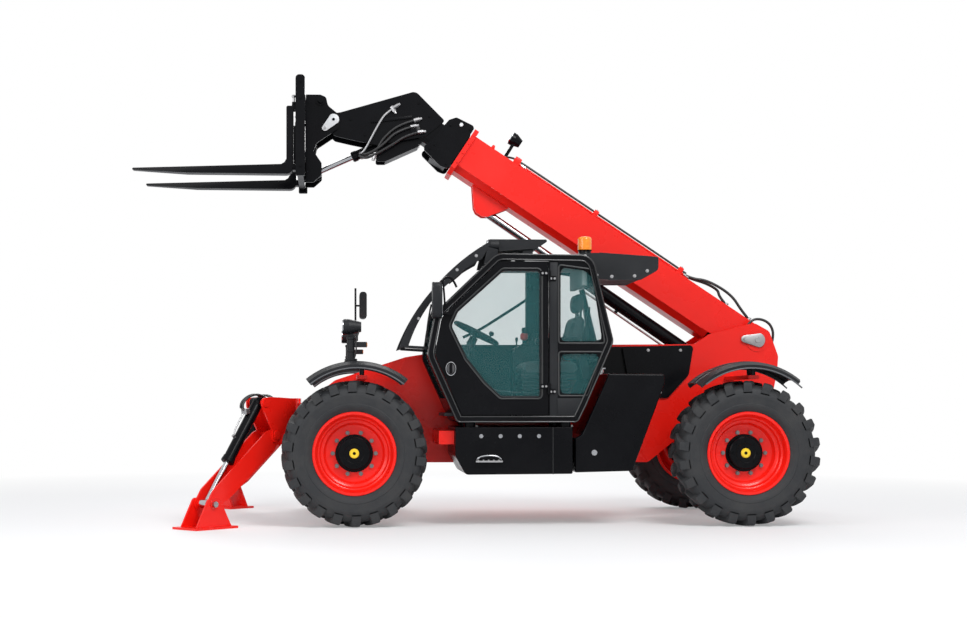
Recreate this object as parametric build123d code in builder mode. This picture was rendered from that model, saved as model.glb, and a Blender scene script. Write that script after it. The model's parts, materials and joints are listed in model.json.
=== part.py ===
"""A telescopic handler standing on its stabilisers, in millimetres.

+X is forward, +Y is the driver's side, +Z is up, and the ground is Z = 0.
Side outlines are measured ahead of the front axle and above the ground, boom outlines
along and above a line through the boom's pivot, and stabiliser outlines outward and up
from the leg's pivot.
"""
import os
from math import atan2, cos, degrees, radians, sin

from build123d import *

# ---- driving dimensions -------------------------------------------------------------
FRONT_AXLE_X = 920
WHEELBASE = 3070
TRACK = 2020
RUN_CLEARANCE = 0.3
MOVE_GAP = 6

TYRE_RADIUS = 570
TYRE_WIDTH = 400
TYRE_SIDES = 20
TREAD_DEPTH = 34
LUG_WIDTH = 58
LUG_SLANT = 62
LUG_DEPTH = 66
RIM_RADIUS = 305
RIM_FLANGE = 326
RIM_WIDTH = 330
RIM_WALL = 14
RIM_DISC = 14
PILOT_RADIUS = 110
HUB_RADIUS = 128
HUB_FLANGE = 190
HUB_REACH = 70
CAP_RADIUS = 33
FENDER_DROP = 4
FENDER_RISE = 54
FENDER_HALF = 210
FENDER_CROWN = 150
FENDER_WALL = 6
FENDER_LIFT = 90
CARRIER_LOW = 580
CARRIER_DEPTH = 30
CARRIER_X = -60
MAST_OUT = 950
MAST_X = 25
SPINDLE_RADIUS = 70
KINGPIN_HALF = 880
KINGPIN_RADIUS = 35
KNUCKLE_RADIUS = 94
KNUCKLE_HEIGHT = 250
YOKE_EAR = 38
AXLE_TUBE = 85
DIFF_RADIUS = 175

FRAME_HALF = 300
FRAME_PLATE = 20
FRAME_FLOOR = 470

PIVOT_AHEAD = -3368
PIVOT_HEIGHT = 1485
BOOM_ANGLE = 33.5
BOOM_PIN = 45
BOOM_WIDTH = 340
BOOM_TOP = 128
BOOM_BOTTOM = -205
BOOM_FRONT = 2930
BOOM_WALL = 10
BOOM_BEVEL = 55
SECTION_GAP = 7
WEAR_PAD = 22
MID_FRONT = 3130
INNER_FRONT = 3300
LUG_ALONG = 2510
LUG_BELOW = -330
LIFT_ANCHOR = (190, -315)
LIFT_BARREL = 57
LIFT_ROD = 35
LIFT_EYE = 45
LIFT_BARREL_LENGTH = 1560
CYLINDER_PIN = 25

TILT_PIVOT = (163, 3322)
TILT_LUG = (302, 2902)
TILT_ANCHOR = (-510, 3263)
TILT_BARREL = 40
TILT_ROD = 22
TILT_EYE = 36
TILT_BARREL_LENGTH = 560
HEAD_HALF = 150
HEAD_BOX_HALF = 104
CHEEK_GAP = 2
CHEEK_PLATE = 22
HEAD_PLATE = 16

CAB_RIGHT = 335
CAB_LEFT = 1150
CAB_WALL = 45
CAB_RING = 50
RING_PROUD = 10
DOOR_GAP = 8
DOOR_REAR = -1506
DOOR_HINGE_OUT = 14
GLASS = 6
SEAT_HEIGHT = 1180
COLUMN_RADIUS = 28
COLUMN_LENGTH = 260
VISOR_TOP = 2240
REAR_VISOR_TOP = 2140
BEACON_TOP = 2299
BEACON_RADIUS = 55

STAB_PIVOT = (675, 735, 710)
STAB_SPLAY = 45
STAB_REACH = 660
STAB_FOOT_PIN = 190
STAB_HALF = 80
STAB_PLATE = 14
STAB_TOP = (120, 255)
STAB_BARREL = 45
STAB_COLLAR = 50
STAB_ROD = 21
LEG_TOP = 82
LEG_BOTTOM = -86
STAB_EYE = 34

TOW_PIN_AHEAD = -3550
TOW_LOW = 700
TOW_PLATE = 25
TOW_GAP = 75
TOW_BORE = 16

HOOD_SPLIT = 1105
HOUSING_RIGHT = -1130
HOOD_INNER = -320
HINGE_RADIUS = 12
HINGE_WIDTH = 60
HOOD_HINGE = (-314, 1424)
HOOD_HINGES = (-1150, -2100)


# ---- planes and shared operations ---------------------------------------------------
def machine_side(y):
    """Upright plane at a distance left of the centre line, seen from the left's inside."""
    return Plane(origin=(FRONT_AXLE_X, y, 0), x_dir=(1, 0, 0), z_dir=(0, -1, 0))


def boom_side(y):
    """As machine_side, along the boom and above its pivot line."""
    along = (cos(radians(BOOM_ANGLE)), 0, sin(radians(BOOM_ANGLE)))
    origin = (FRONT_AXLE_X + PIVOT_AHEAD, y, PIVOT_HEIGHT)
    return Plane(origin=origin, x_dir=along, z_dir=(0, -1, 0))


def cylinder_side(anchor, end, y):
    """Side plane along a cylinder between two points given ahead of the front axle."""
    x, z = end[0] - anchor[0], end[1] - anchor[1]
    origin = (FRONT_AXLE_X + anchor[0], y, anchor[1])
    return Plane(origin=origin, x_dir=(x, 0, z), z_dir=(0, -1, 0))


def stabiliser_side(across, drop=0.0):
    """Plane of the left stabiliser leg; across is measured away from the machine's centre."""
    x, y, z = STAB_PIVOT
    out = (cos(radians(STAB_SPLAY)), sin(radians(STAB_SPLAY)))
    origin = (FRONT_AXLE_X + x - out[1] * across, y + out[0] * across, z)
    tilt = (out[0] * cos(drop), out[1] * cos(drop), sin(drop))
    return Plane(origin=origin, x_dir=tilt, z_dir=(out[1], -out[0], 0))


def plate(side, points, outer, inner, corners=None, mode=Mode.ADD):
    """A plate with a side outline, from its outer face to its inner face."""
    with BuildSketch(side(outer)) as outline:
        with BuildLine():
            if corners is None:
                Polyline(*points, close=True)
            else:
                FilletPolyline(*points, radius=corners, close=True)
        make_face()
    extrude(outline.sketch, amount=outer - inner, mode=mode)


def bar(side, centre, radius, outer, inner, mode=Mode.ADD):
    """A round bar or bore across the machine."""
    with BuildSketch(side(outer)) as outline:
        with Locations(centre):
            Circle(radius)
    extrude(outline.sketch, amount=outer - inner, mode=mode)


def both_sides():
    """Repeat the part on the other side of the machine."""
    mirror(about=Plane.XZ)


def block(x, y, z, mode=Mode.ADD):
    """A box between pairs of limits, x measured ahead of the front axle."""
    size = (x[1] - x[0], y[1] - y[0], z[1] - z[0])
    middle = (FRONT_AXLE_X + (x[0] + x[1]) / 2, (y[0] + y[1]) / 2, (z[0] + z[1]) / 2)
    with Locations(middle):
        Box(*size, mode=mode)


def turned(profile, x, corners=None, mode=Mode.ADD):
    """A wheel-like piece turned about an axle across the machine; profile is (y, radius)."""
    plane = Plane(origin=(x, 0, TYRE_RADIUS), x_dir=(0, 1, 0), z_dir=(1, 0, 0))
    with BuildSketch(plane) as section:
        with BuildLine():
            if corners is None:
                Polyline(*profile, close=True)
            else:
                FilletPolyline(*profile, radius=corners, close=True)
        make_face()
    revolve(section.sketch, axis=Axis((x, 0, TYRE_RADIUS), (0, 1, 0)), mode=mode)


def save(piece, name):
    piece.part.label = name
    export_step(piece.part, f"parts/{name}.step")


os.makedirs("parts", exist_ok=True)
AXLES = (("front", FRONT_AXLE_X), ("rear", FRONT_AXLE_X - WHEELBASE))
SIDES = (("left", 1), ("right", -1))

# ---- chassis ------------------------------------------------------------------------
FRAME_OUTLINE = [
    (520, 655), (560, 900), (340, 1000), (150, 1150), (-430, 1340), (-800, 1400),
    (-2130, 1446), (-2839, 1451), (-2965, 1535), (-3343, 1630), (-3470, 1560),
    (-3545, 1352), (-3536, 1219), (-3450, 800), (-3300, 750), (-2800, 750),
    (-2450, FRAME_FLOOR), (-600, FRAME_FLOOR), (-380, 750), (240, 750), (300, 655),
]
FRAME_CORNERS = [20, 30, 60, 80, 90, 120, 120, 60, 60, 70, 60, 70, 70, 40, 40, 60, 60, 60, 40, 20, 20]
GUSSET = [(-430, 1330), (-560, 1345), (-790, 960), (-760, 800), (-660, 745), (-330, 1100)]
GUSSET_PLATE = 12
CAB_BEAM = ((-780, -660), (FRAME_HALF - FRAME_PLATE, 1050), (640, 745))
inner = FRAME_HALF - FRAME_PLATE
with BuildPart() as chassis_frame:
    plate(machine_side, FRAME_OUTLINE, FRAME_HALF, inner, FRAME_CORNERS)
    plate(machine_side, GUSSET, FRAME_HALF + GUSSET_PLATE, inner, [30, 30, 40, 30, 30, 30])
    bar(machine_side, (PIVOT_AHEAD, PIVOT_HEIGHT), 95, FRAME_HALF + 6, inner)
    bar(machine_side, (PIVOT_AHEAD, PIVOT_HEIGHT), BOOM_PIN + RUN_CLEARANCE, FRAME_HALF + 6, inner, Mode.SUBTRACT)
    block(*CAB_BEAM)
    for x in (CARRIER_X, CARRIER_X - WHEELBASE):
        block((x - 40, x + 40), (inner, TRACK / 2 + 90),
              (TYRE_RADIUS + CARRIER_LOW, TYRE_RADIUS + CARRIER_LOW + CARRIER_DEPTH))
    both_sides()
    for x in HOOD_HINGES:
        with Locations((FRONT_AXLE_X + x - HINGE_WIDTH / 2, *HOOD_HINGE)):
            Cylinder(HINGE_RADIUS, HINGE_WIDTH, rotation=(0, 90, 0))
        block((x - HINGE_WIDTH, x), (HOOD_HINGE[0], -FRAME_HALF + FRAME_PLATE / 2),
              (HOOD_HINGE[1] - 3 * HINGE_RADIUS, HOOD_HINGE[1] + HINGE_RADIUS))
    # floor, cross plates and tow jaw
    block((-2450, -600), (-inner, inner), (FRAME_FLOOR, FRAME_FLOOR + 16))
    block((-380, -200), (-inner, inner), (750, 770))
    block((-3336, -3320), (-inner, inner), (TOW_LOW, 1150))
    for low in (TOW_LOW, TOW_LOW + TOW_GAP + TOW_PLATE):
        block((TOW_PIN_AHEAD - 50, -3330), (-70, 70), (low, low + TOW_PLATE))
    with Locations((FRONT_AXLE_X + TOW_PIN_AHEAD, 0, TOW_LOW)):
        Cylinder(TOW_BORE, 4 * TOW_GAP, mode=Mode.SUBTRACT)
    block((-3290, -2820), (-inner, inner), (750, 770))
    block((-2600, -2584), (-inner, inner), (600, 900))
    anchor = (PIVOT_AHEAD + LIFT_ANCHOR[0], PIVOT_HEIGHT + LIFT_ANCHOR[1])
    bar(machine_side, anchor, CYLINDER_PIN + 10, inner, -inner)
save(chassis_frame, "chassis_frame")

# beams out to the stabilisers and the two ears that hold each leg and its cylinder
BEAM = ((400, 525), 550, (720, 960))
UPPER_BEAM = ((450, 525), 660, (860, 1000))
EAR = [(30, -60), (48, -30), (48, 30), (160, 225), (160, 290), (60, 300)]
EAR_CORNERS = [25, 30, 30, 40, 30, 30]
ear_inner = STAB_HALF + 2
with BuildPart() as stabiliser_brackets:
    for reach_x, reach_y, reach_z in (BEAM, UPPER_BEAM):
        block(reach_x, (FRAME_HALF + RUN_CLEARANCE, reach_y), reach_z)
    plate(stabiliser_side, [(14, -60), *EAR, (-215, 285), (-205, 172)], ear_inner + STAB_PLATE, ear_inner,
          [2, *EAR_CORNERS, 10, 30])
    plate(stabiliser_side, [(-112, -50), *EAR, (-112, 240)], -ear_inner, -ear_inner - STAB_PLATE,
          [10, *EAR_CORNERS, 10])
    plate(stabiliser_side, [(-110, 120), (-94, 120), (-94, 250), (-110, 250)], ear_inner, -ear_inner)
    bar(stabiliser_side, (0, 0), CYLINDER_PIN, ear_inner, -ear_inner)
    bar(stabiliser_side, STAB_TOP, CYLINDER_PIN, ear_inner, -ear_inner)
    for centre in ((0, 0), STAB_TOP):
        for across in (ear_inner + STAB_PLATE + 8, -ear_inner - STAB_PLATE):
            bar(stabiliser_side, centre, CYLINDER_PIN + 9, across, across - 8)
    both_sides()
save(stabiliser_brackets, "stabiliser_brackets")

SIDE_COVER = [(-2040, 1425), (-2831, 1442), (-2789, 1194), (-2613, 1003), (-2040, 1003)]
with BuildPart() as side_cover:
    cover_inner = FRAME_HALF + RUN_CLEARANCE
    plate(machine_side, SIDE_COVER, cover_inner + 14, cover_inner, [20, 30, 60, 40, 20])
    plate(machine_side, [(-2227, 1419), (-2360, 1419), (-2399, 1209), (-2266, 1209)], cover_inner + 60, cover_inner,
          [12, 12, 12, 12])
save(side_cover, "side_cover")

with BuildPart() as boom_pin:
    bar(machine_side, (PIVOT_AHEAD, PIVOT_HEIGHT), BOOM_PIN, FRAME_HALF + 12, -FRAME_HALF - 12)
save(boom_pin, "boom_pin")

# ---- axles, knuckles and wheels -----------------------------------------------------
middle = TRACK / 2


def tyre_ring(across, apothem):
    """A flat-sided ring outline about the wheel's middle at X = 0, a distance from its middle plane."""
    with BuildSketch(Plane(origin=(0, middle + across, TYRE_RADIUS), x_dir=(1, 0, 0), z_dir=(0, 1, 0))) as ring:
        RegularPolygon(apothem, TYRE_SIDES, major_radius=False)
    return ring.sketch


def ring_body(rings, mode=Mode.ADD):
    """Flat-sided body through rings given as (distance across, apothem)."""
    loft([tyre_ring(across, apothem) for across, apothem in rings], ruled=True, mode=mode)


with BuildPart() as tyre_form:
    half = TYRE_WIDTH / 2
    bead = RIM_WIDTH / 2 - 12.5
    carcass = TYRE_RADIUS - TREAD_DEPTH
    shoulder = carcass - 66
    ring_body([(-half, shoulder), (-half + 45, carcass), (half - 45, carcass), (half, shoulder)])
    pitch = 360 / TYRE_SIDES
    lug_top = TYRE_RADIUS - 3.2
    for side_sign, start in ((1, 0), (-1, pitch / 2)):
        with BuildPart(mode=Mode.PRIVATE) as lug:
            with BuildSketch(Plane(origin=(0, middle, TYRE_RADIUS + lug_top - LUG_DEPTH))) as tread:
                with BuildLine():
                    near, far = side_sign * 6, side_sign * (half - 3)
                    Polyline((-LUG_SLANT / 2 - LUG_WIDTH / 2, near), (-LUG_SLANT / 2 + LUG_WIDTH / 2, near),
                             (LUG_SLANT / 2 + LUG_WIDTH / 2, far), (LUG_SLANT / 2 - LUG_WIDTH / 2, far), close=True)
                make_face()
            extrude(tread.sketch, amount=LUG_DEPTH)
        for i in range(TYRE_SIDES):
            add(lug.part.rotate(Axis((0, middle, TYRE_RADIUS), (0, 1, 0)), start + i * pitch))
    ring_body([(-half - 1, RIM_RADIUS + 0.3), (half + 1, RIM_RADIUS + 0.3)], Mode.SUBTRACT)
    for face in (1, -1):
        ring_body([(face * bead, RIM_FLANGE + 1), (face * (half + 1), RIM_FLANGE + 46)], Mode.SUBTRACT)

for end, axle_x in AXLES:
    ahead = axle_x - FRONT_AXLE_X
    with BuildPart() as axle:
        turned([(0, 0), (0, DIFF_RADIUS), (70, DIFF_RADIUS - 10), (150, AXLE_TUBE + 20),
                (260, AXLE_TUBE), (715, AXLE_TUBE - 12), (715, 0)], axle_x)
        block((ahead - 110, ahead + 110), (inner - 40, FRAME_HALF + 20), (TYRE_RADIUS + 40, 750))
        yoke_half = KNUCKLE_HEIGHT / 2 + RUN_CLEARANCE
        block((ahead - 70, ahead + 70), (700, 745), (TYRE_RADIUS - yoke_half - YOKE_EAR, TYRE_RADIUS + yoke_half + YOKE_EAR))
        for low in (-yoke_half - YOKE_EAR, yoke_half):
            with BuildSketch(Plane(origin=(axle_x, 0, TYRE_RADIUS + low))) as ear:
                with BuildLine():
                    Polyline((-70, 720), (-60, KINGPIN_HALF), (60, KINGPIN_HALF), (70, 720), close=True)
                make_face()
                with Locations((0, KINGPIN_HALF)):
                    Circle(60)
            extrude(ear.sketch, amount=YOKE_EAR)
        with Locations((axle_x, KINGPIN_HALF, TYRE_RADIUS)):
            Cylinder(KINGPIN_RADIUS + RUN_CLEARANCE, KNUCKLE_HEIGHT + 4 * YOKE_EAR, mode=Mode.SUBTRACT)
        both_sides()
    save(axle, f"{end}_axle")
    for side, sign in SIDES:
        with BuildPart() as knuckle:
            with Locations((axle_x, KINGPIN_HALF, TYRE_RADIUS)):
                Cylinder(KNUCKLE_RADIUS, KNUCKLE_HEIGHT)
                Cylinder(KINGPIN_RADIUS, KNUCKLE_HEIGHT + 2 * YOKE_EAR)
            turned([(KINGPIN_HALF, 0), (KINGPIN_HALF, 118), (975, 118), (975, SPINDLE_RADIUS),
                    (1040, SPINDLE_RADIUS), (1040, 0)], axle_x)
            if sign < 0:
                mirror(about=Plane.XZ, mode=Mode.REPLACE)
        save(knuckle, f"{end}_{side}_knuckle")
        with BuildPart() as rim:
            half = RIM_WIDTH / 2
            well = RIM_RADIUS - RIM_WALL
            turned([(middle + y, radius) for y, radius in (
                (-half, well), (-half, RIM_FLANGE), (-half + 12, RIM_FLANGE), (-half + 12, RIM_RADIUS),
                (half - 12, RIM_RADIUS), (half - 12, RIM_FLANGE), (half, RIM_FLANGE), (half, well + 9),
                (half - 40, well + 3), (half - 53, 274), (70, 270), (25, 238), (1, 225), (1, PILOT_RADIUS),
                (1 - RIM_DISC, PILOT_RADIUS), (1 - RIM_DISC, 232), (15, 250), (55, well))], axle_x)
            if sign < 0:
                mirror(about=Plane.XZ, mode=Mode.REPLACE)
        save(rim, f"{end}_{side}_rim")
        with BuildPart() as hub:
            back = -RIM_DISC + 1 - RUN_CLEARANCE
            face = 1 + RUN_CLEARANCE
            turned([(middle + y, radius) for y, radius in (
                (-30, SPINDLE_RADIUS + RUN_CLEARANCE), (-30, HUB_FLANGE), (back, HUB_FLANGE),
                (back, PILOT_RADIUS - RUN_CLEARANCE), (face, PILOT_RADIUS - RUN_CLEARANCE), (face, HUB_RADIUS),
                (HUB_REACH - 12, HUB_RADIUS), (HUB_REACH, HUB_RADIUS - 12), (HUB_REACH, CAP_RADIUS),
                (HUB_REACH + 10, CAP_RADIUS - 6), (HUB_REACH + 10, 0), (30 + RUN_CLEARANCE, 0),
                (30 + RUN_CLEARANCE, SPINDLE_RADIUS + RUN_CLEARANCE))], axle_x)
            if sign < 0:
                mirror(about=Plane.XZ, mode=Mode.REPLACE)
        save(hub, f"{end}_{side}_hub")
        with BuildPart() as tyre:
            with Locations((axle_x, 0, 0)):
                add(tyre_form.part)
            if sign < 0:
                mirror(about=Plane.XZ, mode=Mode.REPLACE)
        save(tyre, f"{end}_{side}_tyre")

# ---- fenders, lamps -----------------------------------------------------------------
FENDERS = ((0, -20, 39, 39), (-WHEELBASE, -15, 39, 43))  # axle, shift, degrees behind, degrees ahead
fender_edge = TYRE_RADIUS + FENDER_DROP
fender_crown = TYRE_RADIUS + FENDER_RISE
fender_axis = TYRE_RADIUS + FENDER_LIFT
carrier_top = TYRE_RADIUS + CARRIER_LOW + CARRIER_DEPTH


def fender_shell(x, behind, ahead_of, profile):
    """An arched strip; profile is (distance from the wheel's middle plane, radius)."""
    start = radians(behind)
    origin = (x, middle, fender_axis)
    section = Plane(origin=origin, x_dir=(0, 1, 0), z_dir=(cos(start), 0, sin(start)))
    with BuildSketch(section) as strip:
        with BuildLine():
            Polyline(*profile, close=True)
        make_face()
    revolve(strip.sketch, axis=Axis(origin, (0, 1, 0)), revolution_arc=behind + ahead_of)


SHELL = [(-FENDER_HALF, fender_edge), (-FENDER_HALF, fender_crown - 24), (-FENDER_CROWN, fender_crown),
         (-70, fender_crown), (-60, fender_crown + 6), (60, fender_crown + 6), (70, fender_crown),
         (FENDER_CROWN, fender_crown), (FENDER_HALF, fender_crown - 24), (FENDER_HALF, fender_edge),
         (FENDER_HALF - FENDER_WALL, fender_edge), (FENDER_HALF - FENDER_WALL, fender_crown - 28),
         (FENDER_CROWN - 2, fender_crown - FENDER_WALL), (-FENDER_CROWN + 2, fender_crown - FENDER_WALL),
         (-FENDER_HALF + FENDER_WALL, fender_crown - 28), (-FENDER_HALF + FENDER_WALL, fender_edge)]
mast_seat = fender_axis + fender_crown + 10
with BuildPart() as fenders:
    for axle_at, shift, behind, ahead_of in FENDERS:
        fender_shell(FRONT_AXLE_X + axle_at + shift, behind, ahead_of, SHELL)
        for y in (middle - 60, middle + 60):
            stud_low = carrier_top + RUN_CLEARANCE
            stud_top = fender_axis + fender_crown - FENDER_WALL / 2
            with Locations((FRONT_AXLE_X + axle_at + CARRIER_X, y, (stud_low + stud_top) / 2)):
                Cylinder(18, stud_top - stud_low)
    with Locations((FRONT_AXLE_X + MAST_X, MAST_OUT, mast_seat - 12)):
        Cylinder(52, 24)
    both_sides()
save(fenders, "fenders")

LAMP_CENTRE = 1560
LAMP_RADIUS = 62
with BuildPart() as lamp_masts:
    base = mast_seat + RUN_CLEARANCE
    with Locations((FRONT_AXLE_X + MAST_X, MAST_OUT, base + 8)):
        Cylinder(46, 16)
    with Locations((FRONT_AXLE_X + MAST_X, MAST_OUT, (base + 1480) / 2)):
        Cylinder(30, 1480 - base)
    with BuildSketch(Plane(origin=(FRONT_AXLE_X - 56, MAST_OUT, LAMP_CENTRE), z_dir=(1, 0, 0))) as lamp:
        Circle(40)
    with BuildSketch(Plane(origin=(FRONT_AXLE_X + 40, MAST_OUT, LAMP_CENTRE), z_dir=(1, 0, 0))) as lens:
        Circle(LAMP_RADIUS)
    loft([lamp.sketch, lens.sketch])
    extrude(lens.sketch, amount=45)
    block((MAST_X - 22, MAST_X + 22), (MAST_OUT - 14, MAST_OUT + 14), (1470, LAMP_CENTRE))
    block((-100, 0), (MAST_OUT - 25, MAST_OUT + 25), (1400, 1442))
    both_sides()
    with Locations((FRONT_AXLE_X - 33, -MAST_OUT, 1800)):
        Cylinder(9, 392)
    block((-42, 10), (-MAST_OUT - 10, -MAST_OUT + 10), (1590, 1612))
    with BuildSketch(machine_side(-MAST_OUT + 90)) as mirror_case:
        with Locations((-101, 1839)):
            RectangleRounded(66, 240, 28)
    extrude(mirror_case.sketch, amount=180)
    block((-75, -33), (-MAST_OUT - 8, -MAST_OUT + 8), (1830, 1846))
save(lamp_masts, "lamp_masts")

# ---- cab ----------------------------------------------------------------------------
CAB_OUTLINE = [(-795, 812), (-562, 1330), (-625, 1660), (-1105, 2123), (-1850, 2113),
               (-2015, 1440), (-1800, 945), (-1735, 812)]
CAB_CORNERS = [40, 160, 160, 120, 120, 90, 60, 50]


def cab_prism(outer, inner, inset, mode=Mode.ADD):
    """The cab's side outline drawn in by inset and carried across the machine."""
    with BuildSketch(machine_side(outer)) as outline:
        with BuildLine():
            FilletPolyline(*CAB_OUTLINE, radius=CAB_CORNERS, close=True)
        make_face()
        if inset:
            offset(amount=-inset)
    extrude(outline.sketch, amount=outer - inner, mode=mode)


def door_hole(inset, rear, outer, depth_to, mode):
    """The cab's side outline drawn in by inset and cut off at its rear, as an opening or as the door."""
    with BuildSketch(machine_side(outer)) as outline:
        with BuildLine():
            FilletPolyline(*CAB_OUTLINE, radius=CAB_CORNERS, close=True)
        make_face()
        offset(amount=-inset)
        with Locations((rear - 1000, 1500)):
            Rectangle(2000, 3000, mode=Mode.SUBTRACT)
    extrude(outline.sketch, amount=outer - depth_to, mode=mode)


FRONT_GLASS_REGION = [(-400, 1000), (-400, 1990), (-1040, 1990), (-1040, 1000)]
ROOF_GLASS_REGION = [(-1230, 2030), (-1230, 2200), (-1740, 2200), (-1740, 2030)]
REAR_GLASS_REGION = [(-1860, 1470), (-1860, 1960), (-2100, 1960), (-2100, 1470)]
SIDE_WINDOWS = [
    [(-1589, 2035), (-1850, 2000), (-1870, 1919), (-1945, 1429), (-1589, 1429)],
    [(-1589, 1359), (-1935, 1359), (-1812, 1021), (-1589, 1021)],
]
RIGHT_WINDOW = [(-1130, 2035), (-1420, 2035), (-1420, 1440), (-640, 1440), (-700, 1650)]
HINGES = (1071, 1949)
window_low, window_high = CAB_RIGHT + CAB_WALL + 25, CAB_LEFT - CAB_WALL - 25

with BuildPart() as cab_frame:
    cab_prism(CAB_LEFT, CAB_RIGHT, 0)
    cab_prism(CAB_LEFT - CAB_WALL, CAB_RIGHT + CAB_WALL, CAB_WALL, Mode.SUBTRACT)
    cab_prism(CAB_LEFT + RING_PROUD, CAB_LEFT, 0)
    door_hole(CAB_RING, DOOR_REAR - MOVE_GAP, CAB_LEFT + 2 * RING_PROUD, CAB_LEFT - CAB_WALL - MOVE_GAP, Mode.SUBTRACT)
    cab_prism(CAB_LEFT + 2 * RING_PROUD, CAB_LEFT, CAB_RING, Mode.SUBTRACT)
    for region in (FRONT_GLASS_REGION, ROOF_GLASS_REGION, REAR_GLASS_REGION):
        plate(machine_side, region, window_high, window_low, mode=Mode.SUBTRACT)
    for region in SIDE_WINDOWS:
        plate(machine_side, region, CAB_LEFT + 50, CAB_LEFT - CAB_WALL - 10, mode=Mode.SUBTRACT)
        plate(machine_side, region, CAB_RIGHT + CAB_WALL + 10, CAB_RIGHT - 50, mode=Mode.SUBTRACT)
    plate(machine_side, RIGHT_WINDOW, CAB_RIGHT + CAB_WALL + 10, CAB_RIGHT - 50, mode=Mode.SUBTRACT)
    for x in (-900, -1650):
        for y in (450, 1050):
            with Locations((FRONT_AXLE_X + x, y, 796)):
                Cylinder(45, 40)
    for z in HINGES:
        block((DOOR_REAR - 60, DOOR_REAR - MOVE_GAP), (CAB_LEFT - 5, CAB_LEFT + 8), (z - 40, z))
        with Locations((FRONT_AXLE_X + DOOR_REAR - MOVE_GAP / 2, CAB_LEFT + DOOR_HINGE_OUT, z - 20)):
            Cylinder(13, 40)
save(cab_frame, "cab_frame")

DOOR_WINDOW = [(-1150, 2005), (-1455, 2005), (-1455, 1000), (-1130, 1000), (-1005, 1118),
               (-860, 1300), (-735, 1560), (-790, 1680)]
DOOR_WINDOW_CORNERS = [40, 40, 30, 40, 60, 60, 60, 60]
with BuildPart() as cab_door:
    door_hole(CAB_RING + DOOR_GAP, DOOR_REAR, CAB_LEFT, CAB_LEFT - CAB_WALL, Mode.ADD)
    plate(machine_side, DOOR_WINDOW, CAB_LEFT + 10, CAB_LEFT - CAB_WALL - 10, DOOR_WINDOW_CORNERS, Mode.SUBTRACT)
    for z in HINGES:
        block((DOOR_REAR, DOOR_REAR + 60), (CAB_LEFT - 5, CAB_LEFT + 8), (z + 0.5, z + 40))
        with Locations((FRONT_AXLE_X + DOOR_REAR - MOVE_GAP / 2, CAB_LEFT + DOOR_HINGE_OUT, z + 20.5)):
            Cylinder(13, 39.5)
    with Locations((FRONT_AXLE_X - 746, CAB_LEFT + 8, 1228)):
        Cylinder(50, 16, rotation=(90, 0, 0))
    arm = (CAB_LEFT + RING_PROUD + DOOR_GAP, CAB_LEFT + 40)
    block((-758, -706), (CAB_LEFT - 10, arm[1]), (1640, 1665))
    block((-758, -645), arm, (1640, 1665))
save(cab_door, "cab_door")

with BuildPart() as door_mirror:
    with BuildSketch(Plane(origin=(FRONT_AXLE_X - 665, arm[1] + RUN_CLEARANCE + 80, 1750),
                           x_dir=(0, 1, 0), z_dir=(1, 0, 0))) as mirror_face:
        RectangleRounded(160, 269, 30)
    extrude(mirror_face.sketch, amount=25)
save(door_mirror, "door_mirror")

with BuildPart() as door_glass:
    plate(machine_side, DOOR_WINDOW, CAB_LEFT - 20, CAB_LEFT - 20 - GLASS, DOOR_WINDOW_CORNERS)
save(door_glass, "door_glass")

with BuildPart() as cab_glass:
    with BuildSketch(machine_side(window_high)) as panes:
        with BuildLine():
            FilletPolyline(*CAB_OUTLINE, radius=CAB_CORNERS, close=True)
        make_face()
        offset(amount=-15)
        offset(amount=-GLASS, mode=Mode.SUBTRACT)
        with BuildSketch(Plane.XY, mode=Mode.INTERSECT) as regions:
            for region in (FRONT_GLASS_REGION, ROOF_GLASS_REGION, REAR_GLASS_REGION):
                with BuildLine():
                    Polyline(*region, close=True)
                make_face()
    extrude(panes.sketch, amount=window_high - window_low)
    for region in SIDE_WINDOWS:
        plate(machine_side, region, CAB_LEFT - 20, CAB_LEFT - 20 - GLASS)
        plate(machine_side, region, CAB_RIGHT + 20 + GLASS, CAB_RIGHT + 20)
    plate(machine_side, RIGHT_WINDOW, CAB_RIGHT + 20 + GLASS, CAB_RIGHT + 20)
save(cab_glass, "cab_glass")

FLOOR_TOP = CAB_OUTLINE[0][1] + CAB_WALL
SEAT_Y = (CAB_LEFT + CAB_RIGHT) / 2
with BuildPart() as seat_base:
    block((-1690, -1330), (SEAT_Y - 200, SEAT_Y + 200), (FLOOR_TOP, SEAT_HEIGHT))
save(seat_base, "seat_base")
with BuildPart() as seat_cushion:
    plate(machine_side, [(-1300, SEAT_HEIGHT + RUN_CLEARANCE), (-1280, SEAT_HEIGHT + 90), (-1790, SEAT_HEIGHT + 110),
                         (-1790, SEAT_HEIGHT + RUN_CLEARANCE)],
          SEAT_Y + 250, SEAT_Y - 250, corners=[30, 40, 20, 20])
save(seat_cushion, "seat_cushion")
with BuildPart() as seat_back:
    back_foot = SEAT_HEIGHT + 110 + 2 * RUN_CLEARANCE
    plate(machine_side, [(-1690, back_foot - 4), (-1750, 1850), (-1850, 1850), (-1800, back_foot)],
          SEAT_Y + 230, SEAT_Y - 230, corners=[20, 40, 40, 20])
save(seat_back, "seat_back")

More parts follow.
